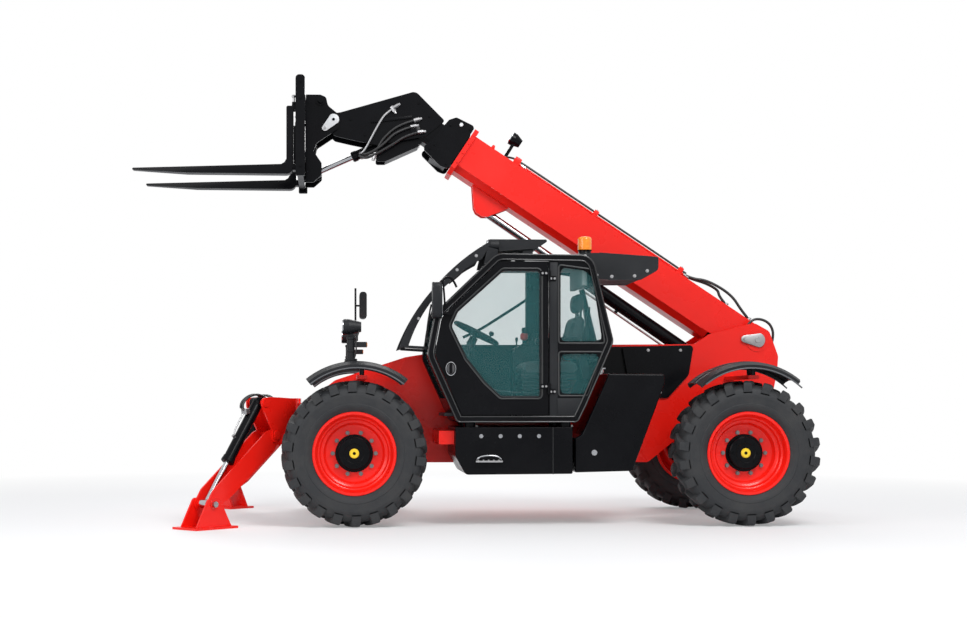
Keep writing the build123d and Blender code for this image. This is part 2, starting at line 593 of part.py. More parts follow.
wheel_plane = Plane(origin=(FRONT_AXLE_X - 985, SEAT_Y, 1530), x_dir=(0, 1, 0), z_dir=(-0.46, 0, 0.89))
with BuildPart() as cab_controls:
    plate(machine_side, [(-830, FLOOR_TOP), (-740, 1100), (-700, 1330), (-840, 1400), (-905, 1365), (-960, FLOOR_TOP)],
          SEAT_Y + 200, SEAT_Y - 200)
    with BuildSketch(wheel_plane) as column_bore:
        Circle(COLUMN_RADIUS + RUN_CLEARANCE)
    extrude(column_bore.sketch, amount=-COLUMN_LENGTH - RUN_CLEARANCE, mode=Mode.SUBTRACT)
    block((-1500, -1300), (400, 470), (FLOOR_TOP, 1400))
    with Locations((FRONT_AXLE_X - 1400, 435, 1440)):
        Cylinder(14, 90)
    with Locations((FRONT_AXLE_X - 1400, 435, 1500)):
        Sphere(28)
save(cab_controls, "cab_controls")

with BuildPart() as steering_wheel:
    with BuildSketch(wheel_plane) as boss:
        Circle(35)
        Rectangle(360, 30)
    extrude(boss.sketch, amount=-20)
    with BuildSketch(wheel_plane) as column:
        Circle(COLUMN_RADIUS)
    extrude(column.sketch, amount=-COLUMN_LENGTH)
    with BuildSketch(Plane(origin=wheel_plane.origin, x_dir=wheel_plane.x_dir, z_dir=wheel_plane.y_dir)) as ring:
        with Locations((185, -10)):
            RegularPolygon(15, 6)
    revolve(ring.sketch, axis=Axis(wheel_plane.origin, wheel_plane.z_dir))
save(steering_wheel, "steering_wheel")

GUARD_RAILS = (420, 1080)
GUARD_PLATE = 8
GUARD_BARS = 9
RAIL_OUTER = [(-348, 1388), (-577, 1805), (-1074, 2233)]
RAIL_INNER = [(-422, 1408), (-653, 1817), (-996, 2086)]
VISOR_HALVES = (440, 1040)
REAR_VISOR = [(-1767, 1950), (-1767, REAR_VISOR_TOP), (-1925, REAR_VISOR_TOP), (-2386, 2108), (-2386, 2010),
              (-2248, 1933), (-1996, 1930)]
with BuildPart() as cab_guard:
    for y in GUARD_RAILS:
        with BuildSketch(machine_side(y + GUARD_PLATE / 2)) as rail:
            with BuildLine():
                outer_edge = ThreePointArc(*RAIL_OUTER)
                inner_edge = ThreePointArc(*RAIL_INNER)
                Line(outer_edge @ 0, inner_edge @ 0)
                Line(outer_edge @ 1, inner_edge @ 1)
            make_face()
        extrude(rail.sketch, amount=GUARD_PLATE)
        plate(machine_side, [(-600, 1378), (-600, 1400), (-385, 1412), (-385, 1392)], y + 12, y - 12)
        plate(machine_side, [(-1010, 2050), (-1120, 2060), (-1120, 2160), (-1040, 2180)], y + GUARD_PLATE / 2,
              y - GUARD_PLATE / 2)
    with BuildLine(mode=Mode.PRIVATE) as rail_middle:
        ThreePointArc((-385, 1398), (-615, 1811), (-1035, 2160))
    for i in range(GUARD_BARS):
        point = rail_middle.line @ ((i + 0.3) / (GUARD_BARS - 0.4))
        bar(machine_side, (point.X, point.Y), 10, GUARD_RAILS[1], GUARD_RAILS[0])
    plate(machine_side, [(-1052, VISOR_TOP), (-1524, VISOR_TOP), (-1425, 2173), (-1090, 2149)],
          VISOR_HALVES[1], VISOR_HALVES[0], [8, 8, 20, 12])
    for y in (GUARD_RAILS[0] + 60, GUARD_RAILS[1] - 60):
        block((-1400, -1320), (y - 5, y + 5), (2100, 2200))
        with BuildSketch(Plane(origin=(FRONT_AXLE_X - 1130, y, 2196), z_dir=(1, 0, 0))) as work_lamp:
            Circle(47)
        extrude(work_lamp.sketch, amount=82)
    bar(machine_side, (-1040, 2165), 12, GUARD_RAILS[1], GUARD_RAILS[0])
    plate(machine_side, REAR_VISOR, VISOR_HALVES[1], VISOR_HALVES[0], [10, 10, 60, 14, 40, 30, 10])
    cab_prism(CAB_LEFT, CAB_RIGHT, -RUN_CLEARANCE, Mode.SUBTRACT)
save(cab_guard, "cab_guard")
BEACON_BASE = 45
with BuildPart() as beacon:
    beacon_seat = Plane(origin=(FRONT_AXLE_X - 1856, 720, REAR_VISOR_TOP + RUN_CLEARANCE))
    with BuildSketch(beacon_seat) as foot:
        Circle(BEACON_RADIUS - 10)
    extrude(foot.sketch, amount=BEACON_BASE)
    with BuildSketch(beacon_seat.offset(BEACON_BASE)) as lens:
        Circle(BEACON_RADIUS)
    extrude(lens.sketch, amount=BEACON_TOP - REAR_VISOR_TOP - BEACON_BASE)
    chamfer(beacon.edges().group_by(Axis.Z)[-1], 18)
save(beacon, "beacon")

# ---- side boxes and engine bay ------------------------------------------------------
SIDE_PANEL = [(-783, 776), (-783, 552), (-865, 405), (-1699, 411), (-1699, 776)]
TANK = [(-1985, 1193), (-2421, 1189), (-2429, 1119), (-2173, 431), (-1722, 420), (-1722, 686), (-1777, 720),
        (-1977, 1166)]
PANEL_LEFT = 1130
TANK_LEFT = 1100
with BuildPart() as side_panel:
    plate(machine_side, SIDE_PANEL, PANEL_LEFT, FRAME_HALF, [12, 40, 40, 12, 12])
    fillet(side_panel.faces().sort_by(Axis.Y)[-1].edges(), 8)
save(side_panel, "side_panel")
with BuildPart() as tank:
    plate(machine_side, TANK, TANK_LEFT, FRAME_HALF + 15 + 60, [14, 14, 30, 20, 12, 12, 20, 12])
    plate(machine_side, [(-1850, 430), (-1850, 900), (-2350, 900), (-2165, 437)], FRAME_HALF + 80, FRAME_HALF)
    fillet(tank.faces().sort_by(Axis.Y)[-1].edges(), 14)
save(tank, "tank")

HOUSING = ((-2290, -800), (HOUSING_RIGHT, -FRAME_HALF), (520, HOOD_SPLIT))
GRILLE = ((-2120, -1500), (640, 1030))
GRILLE_SLATS = 8
with BuildPart() as engine_housing:
    block(*HOUSING)
    fillet(engine_housing.edges().filter_by(Axis.Z).group_by(Axis.Y)[0], 60)
    offset(amount=-15, openings=[engine_housing.faces().sort_by(Axis.Z)[-1], engine_housing.faces().sort_by(Axis.Y)[-1]])
    wall = (HOUSING_RIGHT - 1, HOUSING_RIGHT + 16)
    block(GRILLE[0], wall, GRILLE[1], mode=Mode.SUBTRACT)
    pitch = (GRILLE[1][1] - GRILLE[1][0]) / GRILLE_SLATS
    for i in range(GRILLE_SLATS):
        low = GRILLE[1][0] + pitch * (i + 0.5)
        with Locations((FRONT_AXLE_X + sum(GRILLE[0]) / 2, HOUSING_RIGHT + 9, low)):
            Box(GRILLE[0][1] - GRILLE[0][0] + 4, 5, pitch * 0.62, rotation=(-35, 0, 0))
save(engine_housing, "engine_housing")
with BuildPart() as engine_block:
    block((-2050, -1150), (-900, -420), (535, 1090))
save(engine_block, "engine_block")
HOOD = [(-802, HOOD_SPLIT - 300), (-828, 1270), (-1035, 1385), (-2290, 1410), (-2290, HOOD_SPLIT - 300)]
with BuildPart() as engine_hood:
    plate(machine_side, HOOD, HOOD_INNER, HOUSING_RIGHT, [80, 90, 120, 80, 80])
    fillet(engine_hood.faces().sort_by(Axis.Y)[0].edges(), 45)
    block((-2400, -700), (HOUSING_RIGHT - 10, HOOD_INNER + 10), (HOOD_SPLIT - 400, HOOD_SPLIT + MOVE_GAP),
          mode=Mode.SUBTRACT)
    offset(amount=-12, openings=[engine_hood.faces().sort_by(Axis.Z)[0], engine_hood.faces().sort_by(Axis.Y)[-1]])
    for x in HOOD_HINGES:
        with Locations((FRONT_AXLE_X + x + RUN_CLEARANCE + HINGE_WIDTH / 2, *HOOD_HINGE)):
            Cylinder(HINGE_RADIUS, HINGE_WIDTH, rotation=(0, 90, 0))
        block((x + RUN_CLEARANCE, x + RUN_CLEARANCE + HINGE_WIDTH), (HOOD_INNER - 30, HOOD_HINGE[0]),
              (HOOD_HINGE[1], HOOD_HINGE[1] + HINGE_RADIUS))
        block((x + RUN_CLEARANCE, x + RUN_CLEARANCE + HINGE_WIDTH), (HOOD_INNER - 30, HOOD_INNER),
              (1368, HOOD_HINGE[1] + HINGE_RADIUS))
save(engine_hood, "engine_hood")

# ---- boom ---------------------------------------------------------------------------
def tube_outline(top, bottom, half, bevel):
    """Cross-section of a boom section, its two lower corners cut off."""
    return [(-half, top), (half, top), (half, bottom + bevel), (half - bevel, bottom),
            (-half + bevel, bottom), (-half, bottom + bevel)]


def boom_tube(start, end, top, bottom, half, bevel, mode=Mode.ADD):
    """A length of boom section; its cross-section stands square to the boom."""
    along = Vector(cos(radians(BOOM_ANGLE)), 0, sin(radians(BOOM_ANGLE)))
    origin = Vector(FRONT_AXLE_X + PIVOT_AHEAD, 0, PIVOT_HEIGHT) + along * start
    with BuildSketch(Plane(origin=origin, x_dir=(0, 1, 0), z_dir=along)) as section:
        with BuildLine():
            Polyline(*tube_outline(top, bottom, half, bevel), close=True)
        make_face()
    extrude(section.sketch, amount=end - start, mode=mode)


half = BOOM_WIDTH / 2
mid_half = half - BOOM_WALL - SECTION_GAP
mid_top, mid_bottom = BOOM_TOP - BOOM_WALL - WEAR_PAD, BOOM_BOTTOM + BOOM_WALL + WEAR_PAD
REAR_END = 360
with BuildPart() as boom_outer:
    boom_tube(REAR_END, BOOM_FRONT, BOOM_TOP, BOOM_BOTTOM, half, BOOM_BEVEL)
    boom_tube(BOOM_FRONT - 40, BOOM_FRONT, BOOM_TOP + 42, BOOM_BOTTOM - 52, half + 40, 60)
    for outer_face in (half, -half + 16):
        plate(boom_side, [(REAR_END + 5, BOOM_TOP), (REAR_END + 5, BOOM_BOTTOM + BOOM_BEVEL), (60, -120),
                          (-60, -130), (-140, -60), (-150, 60), (-60, BOOM_TOP)], outer_face, outer_face - 16)
    bar(boom_side, (0, 0), 110, half + 5, -half - 5)
    bar(boom_side, (0, 0), 80, inner - MOVE_GAP, -inner + MOVE_GAP)
    boom_tube(-80, BOOM_FRONT + 10, BOOM_TOP - BOOM_WALL, BOOM_BOTTOM + BOOM_WALL, half - BOOM_WALL,
              BOOM_BEVEL - 4, Mode.SUBTRACT)
    bar(boom_side, (0, 0), 110, half - 12, -half + 12)
    bar(boom_side, (0, 0), BOOM_PIN + RUN_CLEARANCE, FRAME_HALF, -FRAME_HALF, Mode.SUBTRACT)
    # lugs for the lift cylinder
    for outer_face in (66, -50):
        plate(boom_side, [(2330, BOOM_BOTTOM + 2), (2440, LUG_BELOW - 30), (2480, LUG_BELOW - 55), (2540, LUG_BELOW - 55),
                          (2580, LUG_BELOW - 30), (2700, BOOM_BOTTOM + 2)], outer_face, outer_face - 16)
    # wear pads in the mouth, running on the middle section
    mouth = (BOOM_FRONT - 140, BOOM_FRONT - 10)
    for low, high in ((mid_top + RUN_CLEARANCE, BOOM_TOP - 2), (BOOM_BOTTOM + 2, mid_bottom - RUN_CLEARANCE)):
        plate(boom_side, [(mouth[0], low), (mouth[0], high), (mouth[1], high), (mouth[1], low)], 90, -90)
    notch = (BOOM_BOTTOM - 5, BOOM_BOTTOM + BOOM_WALL + 5)
    plate(boom_side, [(2420, notch[0]), (2420, notch[1]), (2620, notch[1]), (2620, notch[0])], 50, -50,
          mode=Mode.SUBTRACT)
save(boom_outer, "boom_outer")

MID_WALL = 9
MID_CHEEK = [(3157, 118), (3116, 171), (2940, 193), (2940, -228), (3008, -244), (3214, -202), (3178, -63)]
with BuildPart() as boom_mid:
    boom_tube(150, MID_FRONT, mid_top, mid_bottom, mid_half, 48)
    boom_tube(MID_FRONT - 160, MID_FRONT - 10, BOOM_TOP + 32, BOOM_BOTTOM - 20, half + 10, 60)
    for outer_face in (half + 12, -half + 13):
        plate(boom_side, MID_CHEEK, outer_face, outer_face - 25, [20, 30, 30, 30, 30, 30, 20])
    boom_tube(140, MID_FRONT + 10, mid_top - MID_WALL, mid_bottom + MID_WALL, mid_half - MID_WALL, 44, Mode.SUBTRACT)
    # wear pads at the tail, the lower ones wide enough apart to pass the lift cylinder's eye
    pad_start, pad_end = REAR_END + 20, REAR_END + 120
    pad_top = BOOM_TOP - BOOM_WALL - RUN_CLEARANCE
    pad_bottom = BOOM_BOTTOM + BOOM_WALL + RUN_CLEARANCE
    plate(boom_side, [(pad_start, mid_top - 2), (pad_start, pad_top), (pad_end, pad_top), (pad_end, mid_top - 2)],
          80, -80)
    for outer_face in (100, -58):
        plate(boom_side, [(pad_start, pad_bottom), (pad_start, mid_bottom + 2), (pad_end, mid_bottom + 2),
                          (pad_end, pad_bottom)], outer_face, outer_face - 42)
save(boom_mid, "boom_mid")

inner_half = mid_half - MID_WALL - SECTION_GAP
inner_top, inner_bottom = mid_top - MID_WALL - 18, mid_bottom + MID_WALL + 18
with BuildPart() as boom_inner:
    boom_tube(250, INNER_FRONT, inner_top, inner_bottom, inner_half, 40)
    boom_tube(240, INNER_FRONT + 10, inner_top - MID_WALL, inner_bottom + MID_WALL, inner_half - MID_WALL, 36, Mode.SUBTRACT)
    for low, high in ((inner_top, mid_top - MID_WALL - RUN_CLEARANCE), (mid_bottom + MID_WALL + RUN_CLEARANCE, inner_bottom)):
        plate(boom_side, [(260, low - 2), (260, high), (400, high), (400, low - 2)] if low > 0 else
              [(260, low), (260, high + 2), (400, high + 2), (400, low)], 70, -70)
save(boom_inner, "boom_inner")

HEAD = [(-770, 3321), (-523, 3569), (105, 3388), (238, 3372), (238, 3268), (150, 3190), (9, 3158), (-202, 3117),
        (-606, 3191)]
HEAD_CORNERS = [20, 60, 80, 50, 50, 40, 60, 20, 30]
HEAD_BOX = [(-606, 3200), (-202, 3126), (-192, 2986), (-269, 2987), (-548, 3113)]
with BuildPart() as boom_head:
    for outer_face in (HEAD_HALF, -HEAD_HALF + HEAD_PLATE):
        plate(machine_side, HEAD, outer_face, outer_face - HEAD_PLATE, HEAD_CORNERS)
    for outer_face in (HEAD_BOX_HALF, -HEAD_BOX_HALF + HEAD_PLATE):
        plate(machine_side, HEAD_BOX, outer_face, outer_face - HEAD_PLATE, [10, 5, 20, 20, 30])
    plate(machine_side, [(-640, 3425), (-519, 3556), (-60, 3425), (-60, 3409), (-512, 3540), (-629, 3417)],
          HEAD_HALF - 2, -HEAD_HALF + 2)
    step_inner = HEAD_BOX_HALF - HEAD_PLATE / 2
    for outer_face in (HEAD_HALF - 2, -step_inner):
        plate(machine_side, [(-600, 3195), (-205, 3122), (-205, 3134), (-600, 3207)], outer_face,
              outer_face - HEAD_HALF + 2 + step_inner)
    plate(machine_side, [(-598, 3181), (-548, 3113), (-269, 2987), (-269, 2999), (-545, 3125), (-588, 3188)],
          HEAD_BOX_HALF - 2, -HEAD_BOX_HALF + 2)
    for outer_face in (HEAD_HALF, -HEAD_HALF + 40):
        bar(machine_side, TILT_PIVOT, 62, outer_face, outer_face - 40)
    bar(machine_side, TILT_PIVOT, 32 + RUN_CLEARANCE, HEAD_HALF + 5, -HEAD_HALF - 5, Mode.SUBTRACT)
    bar(machine_side, TILT_ANCHOR, CYLINDER_PIN, HEAD_HALF, -HEAD_HALF)
    for outer_face in (HEAD_HALF + 10, -HEAD_HALF):
        bar(machine_side, TILT_ANCHOR, 38, outer_face, outer_face - 10)
    boom_tube(INNER_FRONT - 140, INNER_FRONT + 60, inner_top - MID_WALL, inner_bottom + MID_WALL,
              inner_half - MID_WALL, 36, Mode.SUBTRACT)
    boom_tube(3100, INNER_FRONT, inner_top + RUN_CLEARANCE, inner_bottom - RUN_CLEARANCE,
              inner_half + RUN_CLEARANCE, 40, Mode.SUBTRACT)
save(boom_head, "boom_head")

LAMP_ALONG = (2545, 2640)
with BuildPart() as boom_lamp:
    plate(boom_side, [(2570, BOOM_TOP + RUN_CLEARANCE), (2640, BOOM_TOP + RUN_CLEARANCE), (2640, BOOM_TOP + 12),
                      (2608, BOOM_TOP + 14), (2612, 300), (2584, 300), (2580, BOOM_TOP + 14), (2570, BOOM_TOP + 12)],
          30, -30)
    case = boom_side(0)
    with BuildSketch(Plane(origin=case.origin + case.x_dir * LAMP_ALONG[0] + case.y_dir * 318,
                           z_dir=case.x_dir)) as lamp_back:
        Circle(34)
    with BuildSketch(Plane(origin=case.origin + case.x_dir * (LAMP_ALONG[1] - 30) + case.y_dir * 318,
                           z_dir=case.x_dir)) as lamp_front:
        Circle(56)
    loft([lamp_back.sketch, lamp_front.sketch])
    extrude(lamp_front.sketch, amount=30)
save(boom_lamp, "boom_lamp")

# ---- fork carriage ------------------------------------------------------------------
CHEEK = [(272, 3530), (393, 3530), (393, 2800), (330, 2800), (262, 2860), (262, 2960), (330, 3060), (300, 3130),
         (120, 3250), (100, 3350), (210, 3440), (225, 3510)]
with BuildPart() as fork_carriage:
    for outer_face in (580, -540):
        plate(machine_side, [(393, 2800), (393, 3616), (469, 3616), (469, 2800)], outer_face, outer_face - 40,
              corners=[10, 30, 30, 10])
    cheek_out = HEAD_HALF + CHEEK_GAP + CHEEK_PLATE
    for outer_face in (cheek_out, -cheek_out + CHEEK_PLATE):
        plate(machine_side, CHEEK, outer_face, outer_face - CHEEK_PLATE,
              corners=[30, 5, 5, 20, 30, 30, 20, 40, 40, 50, 60, 30])
        bar(machine_side, (272, 3479), 40, outer_face + 10, outer_face - CHEEK_PLATE - 10)
    block((393, 460), (-560, 560), (3380, 3480))
    block((410, 460), (-560, 560), (2830, 2930))
    block((405, 425), (-cheek_out, cheek_out), (2900, 3400))
    for outer_face in (75, -59):
        plate(machine_side, [(262, 2860), (262, 2950), (420, 3020), (420, 2830), (340, 2830)], outer_face, outer_face - 16)
    block((385, 420), (-cheek_out, cheek_out), (2960, 3060))
    bar(machine_side, TILT_PIVOT, 32, cheek_out + 8, -cheek_out - 8)
save(fork_carriage, "fork_carriage")

FORK_HALF = 65
FORK_OUT = 475
FORK = [(492, 2831), (492, 3369), (544, 3369), (544, 2883), (1789, 2858), (1789, 2848), (1150, 2831)]
TIP_TAPER = (1560, 1792, 30)
with BuildPart() as forks:
    for y in (FORK_OUT, -FORK_OUT):
        plate(machine_side, FORK, y + FORK_HALF, y - FORK_HALF, [50, 8, 8, 32, 3, 3, 300])
        block((460.3, 500), (y - FORK_HALF, y + FORK_HALF), (3340, 3380))
        block((460.3, 500), (y - FORK_HALF, y + FORK_HALF), (2850, 2900))
        with BuildSketch(Plane.XY.offset(2800)) as taper:
            for side_sign in (1, -1):
                with BuildLine():
                    edge = y + side_sign * FORK_HALF
                    Polyline((FRONT_AXLE_X + TIP_TAPER[0], edge), (FRONT_AXLE_X + TIP_TAPER[1], edge),
                             (FRONT_AXLE_X + TIP_TAPER[1], edge - side_sign * TIP_TAPER[2]), close=True)
                make_face()
        extrude(taper.sketch, amount=200, mode=Mode.SUBTRACT)
save(forks, "forks")


# ---- cylinders ----------------------------------------------------------------------
def cylinder_barrel(side, reach, radius, rod, eye, pin, half_eye, collar=None):
    """A closed barrel with its base eye at the side's origin, and a collar round its mouth."""
    bar(side, (0, 0), eye, half_eye, -half_eye)
    centre = side(0)
    with BuildSketch(Plane(origin=centre.origin, x_dir=(0, 1, 0), z_dir=centre.x_dir)) as outline:
        Circle(radius)
    extrude(outline.sketch, amount=reach)
    if collar:
        with BuildSketch(Plane(origin=centre.origin + centre.x_dir * (reach - 40), z_dir=centre.x_dir)) as ring:
            Circle(collar)
        extrude(ring.sketch, amount=42)
    with BuildSketch(Plane(origin=centre.origin + centre.x_dir * (eye + 25), x_dir=(0, 1, 0), z_dir=centre.x_dir)) as bore:
        Circle(rod + RUN_CLEARANCE)
    extrude(bore.sketch, amount=reach, mode=Mode.SUBTRACT)
    bar(side, (0, 0), pin + RUN_CLEARANCE, half_eye + radius, -half_eye - radius, Mode.SUBTRACT)


def cylinder_rod(side, start, end, rod, eye, pin, half_eye):
    """A rod from a distance inside its barrel to its eye."""
    centre = side(0)
    with BuildSketch(Plane(origin=centre.origin + centre.x_dir * start, x_dir=(0, 1, 0), z_dir=centre.x_dir)) as outline:
        Circle(rod)
    extrude(outline.sketch, amount=end - start)
    bar(side, (end, 0), eye, half_eye, -half_eye)
    bar(side, (end, 0), pin, half_eye + 1, -half_eye - 1)


turn = radians(BOOM_ANGLE)
lug = (PIVOT_AHEAD + LUG_ALONG * cos(turn) - LUG_BELOW * sin(turn),
       PIVOT_HEIGHT + LUG_ALONG * sin(turn) + LUG_BELOW * cos(turn))
lift_length = ((lug[0] - anchor[0]) ** 2 + (lug[1] - anchor[1]) ** 2) ** 0.5


def lift_side(y):
    return cylinder_side(anchor, lug, y)


with BuildPart() as lift_barrel:
    cylinder_barrel(lift_side, LIFT_BARREL_LENGTH, LIFT_BARREL, LIFT_ROD, 60, CYLINDER_PIN + 10, 55)
save(lift_barrel, "lift_barrel")
with BuildPart() as lift_rod:
    cylinder_rod(lift_side, 1130, lift_length, LIFT_ROD, LIFT_EYE, CYLINDER_PIN, 45)
save(lift_rod, "lift_rod")


def tilt_side(y):
    return cylinder_side(TILT_ANCHOR, TILT_LUG, y)


tilt_length = ((TILT_LUG[0] - TILT_ANCHOR[0]) ** 2 + (TILT_LUG[1] - TILT_ANCHOR[1]) ** 2) ** 0.5
with BuildPart() as tilt_barrel:
    cylinder_barrel(tilt_side, TILT_BARREL_LENGTH, TILT_BARREL, TILT_ROD, 42, CYLINDER_PIN, 45)
save(tilt_barrel, "tilt_barrel")
with BuildPart() as tilt_rod:
    cylinder_rod(tilt_side, 380, tilt_length, TILT_ROD, TILT_EYE, 18, 50)
save(tilt_rod, "tilt_rod")

# ---- stabilisers --------------------------------------------------------------------
foot_drop = STAB_PIVOT[2] - STAB_FOOT_PIN
leg_angle = atan2(-foot_drop, STAB_REACH)
leg_length = (foot_drop ** 2 + STAB_REACH ** 2) ** 0.5
top_angle = atan2(-foot_drop - STAB_TOP[1], STAB_REACH - STAB_TOP[0])
stab_length = ((STAB_REACH - STAB_TOP[0]) ** 2 + (foot_drop + STAB_TOP[1]) ** 2) ** 0.5


def leg_side(across):
    return stabiliser_side(across, leg_angle)


def stab_cylinder_side(across):
    base = stabiliser_side(across)
    origin = base.origin + base.x_dir * STAB_TOP[0] + Vector(0, 0, STAB_TOP[1])
    tilted = stabiliser_side(across, top_angle)
    return Plane(origin=origin, x_dir=tilted.x_dir, z_dir=tilted.z_dir)


def on_side(sign):
    if sign < 0:
        mirror(about=Plane.XZ, mode=Mode.REPLACE)


for side, sign in SIDES:
    with BuildPart() as leg:
        for across in (STAB_HALF, -STAB_HALF + STAB_PLATE):
            plate(leg_side, [(-50, -50), (-50, 45), (70, LEG_TOP), (leg_length - 80, LEG_TOP - 6),
                             (leg_length + 48, 32), (leg_length + 48, -38), (leg_length - 30, -52),
                             (leg_length - 190, LEG_BOTTOM + 4), (90, LEG_BOTTOM)],
                  across, across - STAB_PLATE, corners=[40, 40, 60, 60, 34, 34, 60, 80, 60])
        plate(leg_side, [(90, LEG_BOTTOM + 2), (leg_length - 200, LEG_BOTTOM + 6), (leg_length - 200, LEG_BOTTOM + 18),
                         (90, LEG_BOTTOM + 14)], STAB_HALF - 2, -STAB_HALF + 2)
        bar(leg_side, (0, 0), CYLINDER_PIN + RUN_CLEARANCE, STAB_HALF + 1, -STAB_HALF - 1, Mode.SUBTRACT)
        bar(leg_side, (leg_length, 0), CYLINDER_PIN + RUN_CLEARANCE, STAB_HALF + 1, -STAB_HALF - 1, Mode.SUBTRACT)
        on_side(sign)
    save(leg, f"stabiliser_leg_{side}")
    with BuildPart() as foot:
        plate(stabiliser_side, [(STAB_REACH - 210, -STAB_PIVOT[2]), (STAB_REACH + 210, -STAB_PIVOT[2]),
                                (STAB_REACH + 210, -STAB_PIVOT[2] + 18), (STAB_REACH - 210, -STAB_PIVOT[2] + 18)], 140, -140)
        for across in (STAB_HALF + 2 + STAB_PLATE, -STAB_HALF - 2):
            plate(stabiliser_side, [(STAB_REACH - 180, -STAB_PIVOT[2] + 16), (STAB_REACH + 170, -STAB_PIVOT[2] + 16),
                                    (STAB_REACH + 50, -foot_drop + 45), (STAB_REACH - 60, -foot_drop + 45)],
                  across, across - STAB_PLATE, corners=[5, 5, 35, 35])
        bar(stabiliser_side, (STAB_REACH, -foot_drop), CYLINDER_PIN, STAB_HALF + 20, STAB_HALF - 34)
        bar(stabiliser_side, (STAB_REACH, -foot_drop), CYLINDER_PIN, -STAB_HALF + 34, -STAB_HALF - 20)
        bar(stabiliser_side, (STAB_REACH, -foot_drop), 34, STAB_HALF + 24, STAB_HALF + 14)
        bar(stabiliser_side, (STAB_REACH, -foot_drop), 34, -STAB_HALF - 14, -STAB_HALF - 24)
        on_side(sign)
    save(foot, f"stabiliser_foot_{side}")
    with BuildPart() as barrel:
        cylinder_barrel(stab_cylinder_side, 560, STAB_BARREL, STAB_ROD, 42, CYLINDER_PIN, 54, STAB_COLLAR)
        on_side(sign)
    save(barrel, f"stabiliser_barrel_{side}")
    with BuildPart() as rod:
        cylinder_rod(stab_cylinder_side, 400, stab_length, STAB_ROD, STAB_EYE, CYLINDER_PIN, 38)
        on_side(sign)
    save(rod, f"stabiliser_rod_{side}")
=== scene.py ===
"""Dresses the telescopic handler: paint, rubber, glass, fittings, floor, light and camera.

Metres; +X is forward, +Y is the driver's side, +Z is up, the ground is Z = 0.
"""
import json
from math import asin, cos, pi, radians, sin, tan

import bmesh
import bpy
from mathutils import Matrix, Vector


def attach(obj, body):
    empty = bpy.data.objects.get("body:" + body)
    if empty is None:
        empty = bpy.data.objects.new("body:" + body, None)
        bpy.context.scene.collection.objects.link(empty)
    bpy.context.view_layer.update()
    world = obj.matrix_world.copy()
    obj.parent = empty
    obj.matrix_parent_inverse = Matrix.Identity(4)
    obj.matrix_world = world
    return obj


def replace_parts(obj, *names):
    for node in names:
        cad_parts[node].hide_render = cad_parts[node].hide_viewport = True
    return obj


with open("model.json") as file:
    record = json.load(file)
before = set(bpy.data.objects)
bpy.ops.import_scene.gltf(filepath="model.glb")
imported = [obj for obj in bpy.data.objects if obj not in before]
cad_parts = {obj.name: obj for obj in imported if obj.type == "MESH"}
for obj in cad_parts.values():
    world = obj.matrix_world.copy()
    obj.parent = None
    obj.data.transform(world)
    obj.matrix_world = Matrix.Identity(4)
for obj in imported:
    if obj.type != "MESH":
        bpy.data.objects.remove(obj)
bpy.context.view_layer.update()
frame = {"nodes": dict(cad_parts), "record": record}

AXLE_X = 0.92
WHEELBASE = 3.07
TYRE_RADIUS = 0.57
WHEEL_Y = 1.01
BOOM_PIVOT = (-3.368, 1.485)
BOOM_ANGLE = 33.5
SEAT_Y = 0.7425
FORK_Y = 0.475
MAST_Y = 0.95


# ---- shader node groups -------------------------------------------------------------
def new_group(name, inputs, outputs):
    """A shader node group with its sockets; inputs and outputs are (name, type, default)."""
    group = bpy.data.node_groups.new(name, "ShaderNodeTree")
    for label, kind, value in inputs:
        socket = group.interface.new_socket(label, in_out="INPUT", socket_type=kind)
        if value is not None:
            socket.default_value = value
    for label, kind in outputs:
        group.interface.new_socket(label, in_out="OUTPUT", socket_type=kind)
    return group, group.nodes.new("NodeGroupInput"), group.nodes.new("NodeGroupOutput")


def add_node(tree, kind, settings=None, **values):
    """A node with its settings and its unlinked inputs; a socket is linked."""
    node = tree.nodes.new(kind)
    for key, value in (settings or {}).items():
        setattr(node, key, value)
    for key, value in values.items():
        by_number = key[0] == "i" and key[1:].isdigit()
        socket = node.inputs[int(key[1:]) if by_number else key.replace("_", " ")]
        if isinstance(value, bpy.types.NodeSocket):
            tree.links.new(value, socket)
        else:
            socket.default_value = value
    return node


def maths(tree, operation, first, second):
    """The socket of a sum worked on two values or sockets."""
    return add_node(tree, "ShaderNodeMath", {"operation": operation}, i0=first, i1=second).outputs[0]


